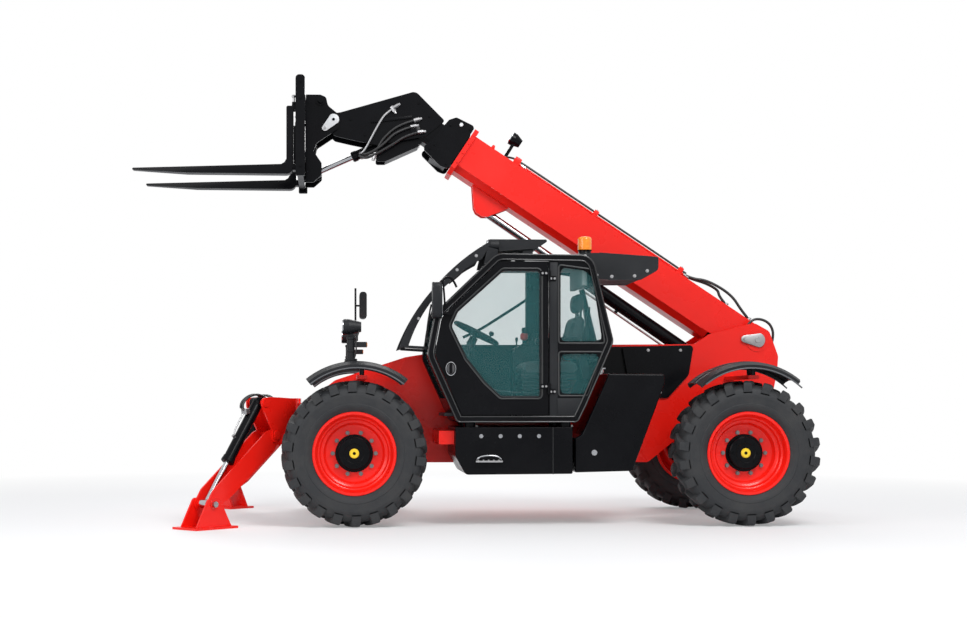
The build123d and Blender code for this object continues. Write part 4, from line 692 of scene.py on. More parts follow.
def spread(outline, centre, count=96):
    """The points where rays from a centre cross a closed outline."""
    out = []
    centre = Vector(centre)
    for step in range(count):
        ray = Vector((cos(2 * pi * step / count), sin(2 * pi * step / count)))
        for a, b in zip(outline, outline[1:] + outline[:1]):
            a, edge = Vector(a) - centre, Vector(b) - Vector(a)
            area = ray.x * edge.y - ray.y * edge.x
            if abs(area) < 1e-12:
                continue
            reach, share = (a.x * edge.y - a.y * edge.x) / area, (a.x * ray.y - a.y * ray.x) / area
            if reach > 0 and 0 <= share < 1:
                out.append(tuple(centre + ray * reach))
                break
    return out


def border(shape, outer, inner, centre, face, depth):
    """A flat frame between two closed outlines round one centre."""
    loops = []
    for outline in (outer, inner):
        points = spread(outline, centre)
        loops += [[shape.verts.new(spot(u, face - back, v)) for u, v in points] for back in (0, depth)]
    count = len(loops[0])
    for one, two in ((0, 2), (2, 3), (3, 1), (1, 0)):
        for i in range(count):
            j = (i + 1) % count
            shape.faces.new((loops[one][i], loops[one][j], loops[two][j], loops[two][i]))


def along_side(outline, y):
    """A side outline's points at a distance left of the middle."""
    return [(u, y, v) for u, v in outline]


def add_cab_trim():
    """Ring edges, window seals, posts, hinges, latch, rails, console and headliner."""
    ring = rounded(CAB_OUTLINE, CAB_CORNERS, 10)
    lines("cab_ring_edges", [along_side(inset(ring, 0.005), CAB_SIDE + 0.008),
          along_side(inset(ring, 0.045), CAB_SIDE + 0.008)], 0.0065, "edge_gloss", closed=True)
    lines("cab_right_edge", [along_side(inset(ring, 0.004), 0.338)], 0.006, "black_paint", closed=True)
    panes = [inset(rounded(window, 0.018, 6), -0.002) for window in SIDE_WINDOWS]
    lines("side_window_seals", [along_side(pane, CAB_SIDE - 0.001) for pane in panes], 0.0065, "seal",
          closed=True)
    shape = bmesh.new()
    for window, radii, centre in zip(SIDE_WINDOWS, SIDE_WINDOW_CORNERS, SIDE_WINDOW_CENTRES):
        border(shape, window, inset(rounded(window, radii, 8), 0.014), centre, CAB_SIDE - 0.012, 0.004)
    finished(shape, "side_window_borders", "black_paint")
    window = rounded(DOOR_WINDOW, DOOR_WINDOW_CORNERS, 8)
    lines("door_window_seal", [along_side(inset(window, -0.003), CAB_SIDE - 0.001)], 0.0065, "seal",
          "cab_door", closed=True)
    lines("door_window_trim", [along_side(inset(window, 0.01), CAB_SIDE - 0.016)], 0.008, "dark_plastic",
          "cab_door", closed=True)
    shape = bmesh.new()
    box(shape, (-1.578, CAB_SIDE - 0.002, 0.86), (-1.518, CAB_SIDE + 0.004, 2.055), 0.003)
    side_slab(shape, rounded([(-1.572, 0.868), (-1.572, 1.0), (-1.805, 1.0), (-1.765, 0.94),
              (-1.735, 0.868)], [0.006, 0.006, 0.006, 0.02, 0.02]), CAB_SIDE + 0.004, 0.006, 0.002)
    finished(shape, "cab_post_cover", "dark_plastic")
    leaves = (("door_hinge_leaves", "cab_door", 0.001, 0.0), ("post_hinge_leaves", "chassis", -0.04, -0.066))
    for name, body, low, shift in leaves:
        shape = bmesh.new()
        for height in HINGE_HEIGHTS:
            base = height + low
            box(shape, (-1.5 + shift, CAB_SIDE + 0.004, base + 0.002),
                (-1.446 + shift, CAB_SIDE + 0.014, base + 0.037), 0.003)
        finished(shape, name, "black_paint", body)
        bolts(name + "_bolts", [((x + shift, CAB_SIDE + 0.0145, height + low + 0.0195), OUT)
              for height in HINGE_HEIGHTS for x in (-1.487, -1.459)], 0.011, "steel", body)
    shape = bmesh.new()
    latch = Matrix.Translation(spot(-0.746, CAB_SIDE + 0.004, 1.228)) @ Matrix.Diagonal((0.8, 1, 1.08, 1))
    turned(shape, [(0.008, 0.048), (0.014, 0.052), (0.019, 0.05), (0.02, 0.045), (0.016, 0.041),
                   (0.008, 0.041)], (0, 0, 0), OUT, 48, ring=True)
    turned(shape, [(0.012, 0), (0.012, 0.009), (0.021, 0.009), (0.023, 0.007), (0.023, 0)], (0, 0, -0.024),
           (0, 1, 0), 24)
    bmesh.ops.transform(shape, matrix=latch, verts=shape.verts)
    finished(shape, "door_latch_ring", "chrome", "cab_door")
    shape = bmesh.new()
    turned(shape, [(0.004, 0), (0.004, 0.042), (0.011, 0.042), (0.0135, 0.03), (0.014, 0)], (0, 0, 0),
           (0, 1, 0), 40)
    bmesh.ops.transform(shape, matrix=latch, verts=shape.verts)
    finished(shape, "door_latch_dish", "grey_iron", "cab_door")
    shape = bmesh.new()
    side_slab(shape, rounded(oblong(-0.757, -0.735, 1.19, 1.268), 0.009), CAB_SIDE + 0.03, 0.014, 0.004)
    finished(shape, "door_latch_grip", "black_paint", "cab_door")
    lines("door_inside_rail", [[(-0.86, 1.08, 1.2), (-0.87, 1.065, 1.22), (-1.02, 1.065, 1.06),
          (-1.3, 1.065, 1.04), (-1.31, 1.08, 1.04)]], 0.011, "dark_plastic", "cab_door")
    lines("cab_bent_rail", [[(-0.9, 0.395, 1.5), (-1.026, 0.4, 1.554), (-1.2, 0.4, 1.665), (-1.41, 0.4, 1.8),
          (-1.432, 0.4, 1.82), (-1.436, 0.4, 1.86), (-1.436, 0.4, 1.98), (-1.436, 0.395, 2.03)]], 0.012,
          "black_paint")
    shape = bmesh.new()
    box(shape, (-1.9, 0.395, 1.3), (-1.83, 1.09, 1.42), 0.02)
    box(shape, (-0.99, 0.4, 0.86), (-0.7, 1.08, 0.885), 0.01)
    side_slab(shape, rounded([(-1.3, 1.19), (-1.3, 1.4), (-1.36, 1.43), (-1.62, 1.43), (-1.68, 1.3),
              (-1.68, 1.19)], 0.03), 0.515, 0.11, 0.02)
    side_slab(shape, rounded([(-1.3, 0.86), (-1.3, 1.05), (-1.7, 1.05), (-1.7, 0.86)], 0.02), 0.5, 0.08,
              0.01)
    finished(shape, "cab_console", "dark_plastic")
    shape = bmesh.new()
    box(shape, (-1.83, 0.42, 2.03), (-1.1, 1.08, 2.07), 0.015)
    box(shape, (-1.82, 0.4, 1.88), (-1.78, 1.08, 2.04), 0.015)
    finished(shape, "cab_headliner", "lining")


STICK_PLACE = (-1.4, 0.435)


def add_controls():
    """Stick, wheel rim, spokes, levers and pedals."""
    shape = bmesh.new()
    turned(shape, [(0, 0), (0.0, 0.03), (0.012, 0.026), (0.02, 0.03), (0.032, 0.022), (0.04, 0.026),
                   (0.052, 0.016), (0.058, 0)], spot(*STICK_PLACE, 1.4), (0, 0, 1), 28)
    turned(shape, [(0.05, 0), (0.05, 0.009), (0.1, 0.008), (0.12, 0.017), (0.16, 0.021), (0.18, 0.016),
                   (0.18, 0)], spot(*STICK_PLACE, 1.4), (0, 0, 1), 24)
    for x, y in ((-1.34, 0.42), (-1.46, 0.44)):
        rod(shape, spot(x, y, 1.4), spot(x, y, 1.47), 0.006, 12)
        turned(shape, [(0.0, 0), (0.0, 0.009), (0.02, 0.013), (0.034, 0.009), (0.036, 0)], spot(x, y, 1.465),
               (0, 0, 1), 16)
    finished(shape, "control_stick", "dark_plastic")
    shape = bmesh.new()
    turned(shape, [(0, 0), (0, 0.017), (0.014, 0.031), (0.045, 0.0315), (0.058, 0.024), (0.062, 0)],
           spot(*STICK_PLACE, 1.475), (0, 0, 1), 28)
    finished(shape, "stick_knob", "red_paint")
    tilt = Vector((-0.46, 0, 0.89)).normalized()
    centre = spot(-0.985, SEAT_Y, 1.53)
    shape = bmesh.new()
    grip = [(sin(2 * pi * i / 14) * 0.0155 - 0.01, 0.185 + cos(2 * pi * i / 14) * 0.0155) for i in range(14)]
    turned(shape, grip, centre, tilt, 72, ring=True)
    turned(shape, [(-0.04, 0), (-0.04, 0.038), (-0.012, 0.046), (0.002, 0.04), (0.008, 0.03), (0.01, 0)],
           centre, tilt, 40)
    for angle in (0.0, 2.2, -2.2):
        way = (Vector((0.89, 0, 0.46)) * cos(angle) + Vector((0, 1, 0)) * sin(angle)).normalized()
        rod(shape, centre + way * 0.03 - tilt * 0.012, centre + way * 0.182 - tilt * 0.01, 0.011, 12)
    turned(shape, [(-0.26, 0), (-0.26, 0.0285), (-0.12, 0.0285), (-0.118, 0.036), (-0.05, 0.033),
                   (-0.045, 0.02), (-0.03, 0.02), (-0.03, 0)], centre, tilt, 32)
    knob = centre + Vector((-0.89, 0, -0.46)).normalized() * 0.1 + Vector((0, 0.155, 0))
    turned(shape, [(0, 0), (0, 0.008), (0.012, 0.008), (0.018, 0.019), (0.036, 0.021), (0.045, 0.014),
                   (0.046, 0)], knob, tilt, 20)
    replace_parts(finished(shape, "steering_wheel_fine", "dark_plastic"), "steering_wheel")
    course = ((0.09, 0, 0.03), (0.08, 0.01, 0.1), (0.05, 0.01, 0.16))
    levers = [[centre - tilt * below + Vector((ahead, side * out, 0)) for below, ahead, out in course]
              for side in (1, -1)]
    lines("column_levers", levers, 0.006, "dark_plastic", at=as_given)
    shape = bmesh.new()
    for y in (0.66, 0.76, 0.86):
        side_slab(shape, rounded([(-0.97, 0.93), (-0.985, 1.02), (-0.995, 1.018), (-0.98, 0.928)], 0.003),
                  y + 0.03, 0.06, 0.003)
    box(shape, (-0.93, SEAT_Y - 0.16, 1.36), (-0.78, SEAT_Y + 0.16, 1.425), 0.02)
    finished(shape, "pedals_and_cowl", "dark_plastic")


TAIL_LAMPS = (-0.24, 0.17)


def work_lamp(shape_case, shape_glass, face, axis, radius, depth):
    """A round lamp: a bright bowl and bezel, and a lens in front of it."""
    turned(shape_case, [(-depth, 0), (-depth, radius * 0.45), (-depth * 0.55, radius * 0.9),
           (-0.006, radius), (0.004, radius * 1.02), (0.006, radius * 0.93), (-0.002, radius * 0.9),
           (-0.012, radius * 0.86), (-depth * 0.6, radius * 0.3), (-depth * 0.62, 0)], face, axis, 36)
    turned(shape_glass, [(-0.004, 0), (-0.004, radius * 0.88), (0.001, radius * 0.9), (0.006, radius * 0.6),
           (0.0075, 0)], face, axis, 36)


def add_lamps():
    """Work lamps, turn and tail lamps, and the beacon."""
    case, glass = bmesh.new(), bmesh.new()
    for y in (0.48, 1.02):
        work_lamp(case, glass, spot(-1.043, y, 2.196), AHEAD, 0.046, 0.05)
    for side in (1, -1):
        work_lamp(case, glass, spot(0.088, side * MAST_Y, 1.56), AHEAD, 0.06, 0.06)
    finished(case, "lamp_bowls", "chrome")
    finished(glass, "lamp_lenses", "lens")
    case, glass = bmesh.new(), bmesh.new()
    along = (boom_spot(1, 0, 0) - boom_spot(0, 0, 0)).normalized()
    work_lamp(case, glass, boom_spot(2.643, 0, 0.318), along, 0.054, 0.05)
    finished(case, "boom_lamp_bowl", "chrome", "boom_outer")
    finished(glass, "boom_lamp_lens", "lens", "boom_outer")
    shape = bmesh.new()
    for side in (1, -1):
        box(shape, (-0.104, side * MAST_Y - 0.022, 1.405), (-0.097, side * MAST_Y + 0.022, 1.437), 0.003)
    for y in TAIL_LAMPS:
        box(shape, (-3.352, y, 1.0), (-3.34, y + 0.07, 1.04), 0.004)
    finished(shape, "turn_lenses", "amber")
    shape = bmesh.new()
    for y in TAIL_LAMPS:
        box(shape, (-3.352, y, 1.044), (-3.34, y + 0.07, 1.09), 0.004)
    finished(shape, "tail_lenses", "tail_red")
    shape = bmesh.new()
    for y in TAIL_LAMPS:
        box(shape, (-3.345, y - 0.01, 0.99), (-3.3365, y + 0.08, 1.1), 0.003)
    finished(shape, "tail_lamp_backs", "black_paint")
    shape = bmesh.new()
    seat = spot(-1.856, 0.72, 2.1403)
    turned(shape, [(0, 0), (0, 0.06), (0.006, 0.062), (0.012, 0.058), (0.02, 0.052), (0.04, 0.05),
                   (0.046, 0.057), (0.05, 0.057), (0.05, 0)], seat, UP, 40)
    finished(shape, "beacon_base", "black_paint")
    shape = bmesh.new()
    lens = [(0.05, 0.0), (0.05, 0.054)]
    for step in range(7):
        lens += [(0.053 + step * 0.013, 0.0548), (0.058 + step * 0.013, 0.0562),
                 (0.062 + step * 0.013, 0.0548)]
    lens += [(0.146, 0.0525), (0.153, 0.046), (0.1575, 0.034), (0.159, 0.018), (0.1592, 0)]
    turned(shape, lens, seat, UP, 48)
    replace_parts(finished(shape, "beacon_lens", "amber", angle=50), "beacon")


VISOR_SIDES = (1.037, 0.443)


def add_guard_fittings():
    """The guard's bolts, bars and cables, the visors' lips, the wiper and the door mirror."""
    places = []
    for x, z in ((-1.81, 2.115), (-1.81, 2.06), (-1.85, 2.0), (-1.9, 1.965), (-2.02, 1.955), (-2.2, 1.96),
                 (-2.3, 2.0)):
        places.append(((x, 1.0405, z), OUT))
        places.append(((x, 0.4395, z), IN))
    bolts("visor_bolts", places, 0.017, "steel")
    bolts("guard_bolts", [((x, y + 0.005 * way, z), (0, way, 0)) for y, way in ((1.08, 1), (0.42, -1))
          for x, z in ((-0.5, 1.62), (-0.63, 1.83), (-0.8, 2.0), (-0.95, 2.11))], 0.015, "steel")
    bars = []
    for y in (0.5, 0.64, 0.78, 0.92, 1.02):
        bars.append([(-0.375, y, 1.4), (-0.44, y, 1.56), (-0.53, y, 1.72), (-0.65, y, 1.87),
                     (-0.82, y, 2.03), (-1.035, y, 2.17)])
    lines("guard_long_bars", bars, 0.008, "dark_plastic")
    lines("screen_wiper", [[(-0.66, 0.86, 1.36), (-0.585, 0.86, 1.4), (-0.575, 0.8, 1.55),
          (-0.62, 0.72, 1.75)],
          [(-0.57, 0.78, 1.45), (-0.585, 0.76, 1.6), (-0.66, 0.7, 1.78)]], 0.007, "dark_plastic")
    lines("lamp_cables", [[(-1.09, y, 2.2), (-1.03, y + 0.02, 2.13), (-0.95, y + 0.03, 2.1),
          (-0.86, y + 0.03, 2.0), (-0.77, y + 0.03, 1.93)] for y in (0.9, 0.55)], 0.008, "hose")
    lines("mirror_arm", [[(-0.735, 1.178, 1.652), (-0.7, 1.19, 1.655), (-0.66, 1.22, 1.655)],
          [(-0.79, 1.16, 1.86), (-0.76, 1.18, 1.93), (-0.69, 1.22, 1.935), (-0.655, 1.25, 1.87)]], 0.009,
          "black_paint", "cab_door")
    edge = rounded([(-1.767, 1.95), (-1.767, 2.14), (-1.925, 2.14), (-2.386, 2.108), (-2.386, 2.01),
                    (-2.248, 1.933), (-1.996, 1.93)], [0.01, 0.01, 0.06, 0.014, 0.04, 0.03, 0.01], 4)
    roof = rounded([(-1.052, 2.24), (-1.524, 2.24), (-1.425, 2.173), (-1.09, 2.149)],
                   [0.008, 0.008, 0.02, 0.012], 4)
    edge = [point for point in edge if point[0] < -1.9]
    lines("visor_lips", [along_side(roof, y) for y in VISOR_SIDES], 0.004, "dark_plastic", closed=True)
    lines("rear_visor_lips", [along_side(edge, y) for y in VISOR_SIDES], 0.004, "dark_plastic", order=2)
    lines("mirror_stays", [[(-0.7, 1.165, 1.7), (-0.69, 1.2, 1.86), (-0.668, 1.24, 1.92),
          (-0.655, 1.27, 1.88)]], 0.008, "black_paint", "cab_door")
    shape = bmesh.new()
    mirror = rounded(oblong(1.19, 1.35, 1.612, 1.888), 0.035, 6)
    slab(shape, mirror, lambda u, v: spot(-0.668, u, v), (0.072, 0, 0), 0.022, 4)
    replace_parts(finished(shape, "mirror_casing", "dark_plastic", "cab_door"), "door_mirror")
    shape = bmesh.new()
    glass = rounded(oblong(1.205, 1.335, 1.632, 1.868), 0.03, 6)
    slab(shape, glass, lambda u, v: spot(-0.671, u, v), (0.004, 0, 0), 0.001, 1)
    finished(shape, "mirror_glass", "chrome", "cab_door")


# ---- boom ---------------------------------------------------------------------------
def pear(big, small, big_radius, small_radius, steps=10):
    """A retainer plate's outline: two arcs joined by straight sides."""
    big, small = Vector(big), Vector(small)
    way = (small - big).normalized()
    lean = pi / 2 - asin((big_radius - small_radius) / (small - big).length)
    out = []
    arcs = ((big, big_radius, pi / 2 + (pi / 2 - lean), 2 * pi - pi / 2 - (pi / 2 - lean)),
            (small, small_radius, -lean, lean))
    for middle, radius, start, end in arcs:
        for step in range(steps + 1):
            angle = start + (end - start) * step / steps
            out.append(tuple(middle + Matrix.Rotation(angle, 2) @ way * radius))
    return out


BOOM_PIPE_SIDES = (0.118, 0.145)
BOOM_PIPE_HEIGHT = 0.142
BOOM_CLAMPS = (1.7, 0.84)


def add_boom_fittings():
    """Pipes, hoses, clamps, bolts and welds of the boom's outer sections."""
    pipes = [[(2.49, y, 0.132)] + [(along, y, BOOM_PIPE_HEIGHT) for along in (2.47, 2.4, 1.6, 0.86, 0.8)]
             for y in BOOM_PIPE_SIDES]
    lines("boom_top_pipes", pipes, 0.0085, "red_paint", "boom_outer", at=boom_spot)
    lines("boom_top_cable", [[(2.6, 0.03, 0.145), (2.55, 0.12, 0.16), (2.48, 0.132, 0.165),
          (2.3, 0.132, 0.166), (1.6, 0.132, 0.166), (0.86, 0.132, 0.166), (0.78, 0.132, 0.162)]], 0.009,
          "hose", "boom_outer", at=boom_spot)
    hoses = []
    for y, drop, end in ((0.118, 0.19, (0.35, 0.134)), (0.145, 0.215, (0.126, 0.134))):
        hoses.append([(0.8, y, BOOM_PIPE_HEIGHT), (0.72, y, 0.15), (0.6, y, drop),
                      ((0.6 + end[0]) / 2, y, drop + 0.012), (end[0] + 0.09, y, 0.16), (end[0], y, end[1])])
    lines("boom_rear_hoses", hoses, 0.0115, "hose", "boom_outer", at=boom_spot)
    shape = bmesh.new()
    for along in BOOM_CLAMPS:
        boom_slab(shape, rounded(oblong(along - 0.022, along + 0.022, 0.128, 0.182), 0.006), 0.162, 0.065,
                  0.003)
    boom_slab(shape, rounded([(2.7, 0.128), (2.74, 0.128), (2.736, 0.168), (2.715, 0.168)], 0.006), 0.1,
              0.012, 0.002)
    boom_slab(shape, rounded(oblong(2.46, 2.52, 0.128, 0.185), 0.006), 0.162, 0.065, 0.003)
    finished(shape, "boom_clamps", "red_paint", "boom_outer")
    up = (boom_spot(0, 0, 1) - boom_spot(0, 0, 0)).normalized()
    bolts("boom_clamp_bolts", [((along, y, 0.182), up) for along in BOOM_CLAMPS for y in (0.112, 0.15)]
          + [((2.49, 0.13, 0.185), up)], 0.013, "steel", "boom_outer", at=boom_spot)
    fittings = bmesh.new()
    for y in BOOM_PIPE_SIDES:
        for start, end in ((0.8, 0.75), (2.44, 2.4)):
            rod(fittings, boom_spot(start, y, BOOM_PIPE_HEIGHT), boom_spot(end, y, 0.1425), 0.0135, 6)
    for along, y in ((0.35, 0.118), (0.126, 0.145)):
        rod(fittings, boom_spot(along, y, 0.127), boom_spot(along, y, 0.152), 0.016, 6)
    finished(fittings, "boom_pipe_unions", "steel", "boom_outer")
    bolts("boom_collar_bolts", [((2.905, side * 0.2105, above), (0, side, 0)) for side in (1, -1)
          for above in (-0.14, -0.05, 0.04, 0.12)], 0.016, "red_paint", "boom_outer", at=boom_spot)
    shape = bmesh.new()
    for side in (1, -1):
        turned(shape, [(0, 0), (0, 0.016), (0.008, 0.016), (0.012, 0.012), (0.012, 0)],
               boom_spot(3.048, side * 0.181, 0.141), (0, side, 0), 24)
    finished(shape, "collar_pins", "pale_plastic", "boom_mid")
    bolts("collar_cheek_bolts", [((along, side * 0.1825, above), (0, side, 0)) for side in (1, -1)
          for along, above in ((2.965, 0.15), (3.12, 0.09), (3.14, -0.12), (3.16, -0.17), (2.975, -0.2))],
          0.018, "black_paint", "boom_mid", at=boom_spot)
    lines("boom_edge_welds", [[(0.42, side * 0.1705, -0.153), (1.6, side * 0.1705, -0.153),
          (2.87, side * 0.1705, -0.153)] for side in (1, -1)], 0.0022, "red_paint", "boom_outer",
          at=boom_spot, order=2)
    lines("collar_welds", [[(2.889, side * 0.1715, -0.145), (2.889, side * 0.1715, 0.126)]
          for side in (1, -1)], 0.004, "red_paint", "boom_outer", at=boom_spot, order=2)


CARRIAGE_PIN = (0.163, 3.322)
CARRIAGE_PIN_BOLT = (0.235, 3.25)
CARRIAGE_CHEEK = 0.1905


def add_head_fittings():
    """Hoses, unions and bolts of the boom head, and the carriage's pin retainers."""
    hoses = [[(-0.18, 0.168, 3.031), (-0.2, 0.176, 3.08), (-0.258, 0.176, 3.181), (-0.392, 0.174, 3.291),
              (-0.526, 0.17, 3.325)],
             [(-0.05, 0.152, 3.03), (-0.09, 0.17, 3.0), (-0.158, 0.176, 3.02), (-0.325, 0.178, 3.115),
              (-0.45, 0.174, 3.2), (-0.559, 0.168, 3.225)],
             [(-0.07, 0.152, 3.04), (-0.12, 0.182, 3.03), (-0.26, 0.19, 3.12), (-0.36, 0.186, 3.23),
              (-0.5, 0.17, 3.27)]]
    lines("head_hoses", hoses, 0.0115, "hose", "boom_inner")
    lines("head_bright_hose", [[(-0.055, 0.152, 3.05), (-0.07, 0.172, 3.04), (-0.108, 0.18, 3.089),
          (-0.15, 0.18, 3.17), (-0.2, 0.178, 3.264), (-0.25, 0.174, 3.35), (-0.292, 0.168, 3.39),
          (-0.35, 0.166, 3.432)]], 0.0105, "steel", "boom_inner")
    fittings = bmesh.new()
    for place, way in (((-0.35, 0.166, 3.432), (-1, 0, 0.62)), ((-0.33, 0.166, 3.42), (-0.62, 0, -1)),
                       ((-0.526, 0.17, 3.325), (-1, 0, 0.25)), ((-0.559, 0.168, 3.225), (-1, 0, 0.1)),
                       ((-0.5, 0.17, 3.27), (-1, 0, 0.2)), ((-0.18, 0.168, 3.031), (0.3, 0, -1))):
        start = spot(*place)
        way = Vector(way).normalized()
        rod(fittings, start - way * 0.02, start + way * 0.03, 0.017, 6)
        rod(fittings, start + way * 0.026, start + way * 0.05, 0.013, 16)
    finished(fittings, "head_unions", "steel", "boom_inner")
    shape = bmesh.new()
    side_slab(shape, rounded([(-0.49, 3.34), (-0.15, 3.3), (-0.15, 3.325), (-0.49, 3.365)], 0.005), 0.166,
              0.016, 0.003)
    side_slab(shape, rounded([(-0.56, 3.21), (-0.48, 3.2), (-0.48, 3.26), (-0.56, 3.27)], 0.01), 0.172,
              0.022, 0.004)
    finished(shape, "head_brackets", "black_paint", "boom_inner")
    bolts("head_bolts", [((x, side * 0.1505, z), (0, side, 0)) for side in (1, -1)
          for x, z in ((-0.64, 3.36), (-0.55, 3.47), (-0.1, 3.2), (0.02, 3.33))], 0.018, "black_paint",
          "boom_inner")
    for side, name in SIDES:
        shape = bmesh.new()
        face = CARRIAGE_CHEEK if side > 0 else -0.1825
        side_slab(shape, pear(CARRIAGE_PIN, CARRIAGE_PIN_BOLT, 0.047, 0.024), face, 0.008, 0.002)
        finished(shape, "carriage_pin_retainer_" + name, "pale_plastic", "carriage")
        place = (CARRIAGE_PIN_BOLT[0], side * CARRIAGE_CHEEK, CARRIAGE_PIN_BOLT[1])
        bolts("carriage_retainer_bolts_" + name, [(place, (0, side, 0))], 0.018, "steel", "carriage",
              washer=0.7)
        shape = bmesh.new()
        turned(shape, [(0, 0), (0, 0.012), (0.004, 0.011), (0.004, 0)],
               spot(CARRIAGE_PIN[0], side * CARRIAGE_CHEEK, CARRIAGE_PIN[1]), (0, side, 0), 20)
        finished(shape, "carriage_pin_centre_" + name, "black_paint", "carriage")
    shape = bmesh.new()
    for y in (-0.52, -0.3, -0.1, 0.1, 0.3, 0.52):
        box(shape, (0.43, y - 0.012, 3.478), (0.462, y + 0.012, 3.4865), 0.003)
    for side in (1, -1):
        turned(shape, [(0, 0), (0, 0.02), (0.006, 0.024), (0.014, 0.024), (0.018, 0.018), (0.018, 0)],
               spot(0.272, side * 0.1845, 3.479), (0, side, 0), 28)
        box(shape, (0.47, side * FORK_Y - 0.02, 3.381), (0.5, side * FORK_Y + 0.02, 3.41), 0.006)
    finished(shape, "carriage_notches", "black_paint", "carriage")
    shape = bmesh.new()
    for side in (1, -1):
        rod(shape, spot(0.486, side * FORK_Y, 3.405), spot(0.486, side * FORK_Y, 3.45), 0.009, 16, 0.002)
        turned(shape, [(0, 0), (0, 0.015), (0.01, 0.017), (0.02, 0.012), (0.022, 0)],
               spot(0.486, side * FORK_Y, 3.448), UP, 20)
    finished(shape, "fork_latches", "steel", "carriage")
    lines("carriage_hoses", [[(0.34, y, 3.02), (0.3, y, 3.1), (0.33, y + 0.01, 3.2), (0.375, y, 3.26),
          (0.398, y, 3.31)] for y in (0.03, -0.03)], 0.009, "hose", "carriage")
    bolts("carriage_bolts", [((x, side * 0.5805, z), (0, side, 0)) for side in (1, -1)
          for x, z in ((0.43, 2.88), (0.43, 3.43), (0.43, 3.56))], 0.02, "black_paint", "carriage")


def add_forks():
    """Forged forks: a heel bend, a blade that thins towards its tip, and two hooks on the carriage bars."""
    for side, name in SIDES:
        shape = bmesh.new()
        blade = rounded([(0.488, 2.818), (0.488, 3.369), (0.544, 3.369), (0.544, 2.898), (1.788, 2.864),
                         (1.788, 2.848), (1.35, 2.823)],
                        [0.055, 0.012, 0.012, 0.04, 0.006, 0.006, 0.3], 8)
        side_slab(shape, blade, side * FORK_Y + 0.065, 0.13, 0.006, 3)
        for vert in shape.verts:
            far = max(0.0, vert.co.x - AXLE_X - 1.5) / 0.29
            vert.co.y = side * FORK_Y + (vert.co.y - side * FORK_Y) * (1 - 0.45 * far * far)
        for low, high in ((3.34, 3.38), (2.85, 2.9)):
            box(shape, (0.4605, side * FORK_Y - 0.06, low), (0.5, side * FORK_Y + 0.06, high), 0.006)
        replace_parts(finished(shape, "fork_" + name, "black_paint", "carriage", angle=25), "forks")


LIFT_FOOT = (-3.178, 0, 1.17)
LIFT_TOP = (2.51, 0, -0.33)
LIFT_MOUTH = 1.56
TILT_FOOT = (-0.51, 0, 3.263)
TILT_TOP = (0.302, 0, 2.902)
TILT_MOUTH = 0.56


def add_cylinder_pipes():
    """Oil pipes, gland nuts and unions along the lift and tilt cylinders."""
    foot, top = spot(*LIFT_FOOT), boom_spot(*LIFT_TOP)
    way = (top - foot).normalized()
    over = way.cross(Vector((0, -1, 0))).normalized()
    mouth = foot + way * LIFT_MOUTH
    shape = bmesh.new()
    turned(shape, [(-0.07, 0.0575), (-0.066, 0.0625), (-0.01, 0.0625), (0.004, 0.06), (0.01, 0.052),
                   (0.012, 0.0365), (-0.05, 0.0365), (-0.07, 0.0365)], mouth, way, 40, ring=True)
    turned(shape, [(0, 0.0572), (0.01, 0.061), (0.05, 0.061), (0.06, 0.0572)], foot + way * 0.16, way, 40)
    box_at = foot + way * 0.2 + over * 0.062
    rod(shape, box_at, box_at + way * 0.09, 0.024, 8, 0.003)
    finished(shape, "lift_barrel_gland", "black_paint", "lift_barrel")
    course = ((0.22, 0.075, 1), (0.3, 0.078, 1), (1.3, 0.078, 1), (1.42, 0.078, 1), (1.46, 0.055, 0.5))
    pipes = [[foot + way * along + over * above + Vector((0, y * share, 0))
              for along, above, share in course] for y in (0.016, -0.016)]
    lines("lift_barrel_pipes", pipes, 0.007, "steel", "lift_barrel", at=as_given, order=2)
    shape = bmesh.new()
    for share in (0.5, 1.1):
        clamp = foot + way * share + over * 0.066
        rod(shape, clamp - Vector((0, 0.03, 0)), clamp + Vector((0, 0.03, 0)), 0.015, 8, 0.002)
    finished(shape, "lift_pipe_clamps", "black_paint", "lift_barrel")
    tilt_foot, tilt_top = spot(*TILT_FOOT), spot(*TILT_TOP)
    way = (tilt_top - tilt_foot).normalized()
    over = way.cross(Vector((0, -1, 0))).normalized()
    shape = bmesh.new()
    turned(shape, [(-0.04, 0.0405), (-0.036, 0.045), (-0.004, 0.045), (0.006, 0.038), (0.008, 0.0235),
                   (-0.04, 0.0235)], tilt_foot + way * TILT_MOUTH, way, 32, ring=True)
    finished(shape, "tilt_gland", "black_paint", "tilt_barrel")
    course = ((0.1, 0.045), (0.16, 0.053), (0.42, 0.053), (0.5, 0.042))
    lines("tilt_pipe", [[tilt_foot + way * along + over * above for along, above in course]], 0.006, "steel",
          "tilt_barrel", at=as_given)


STABILISER_PIVOT = (0.675, 0.735, 0.71)
STABILISER_SPLAY = 45
STABILISER_REACH = 0.66
STABILISER_FOOT_HEIGHT = 0.19


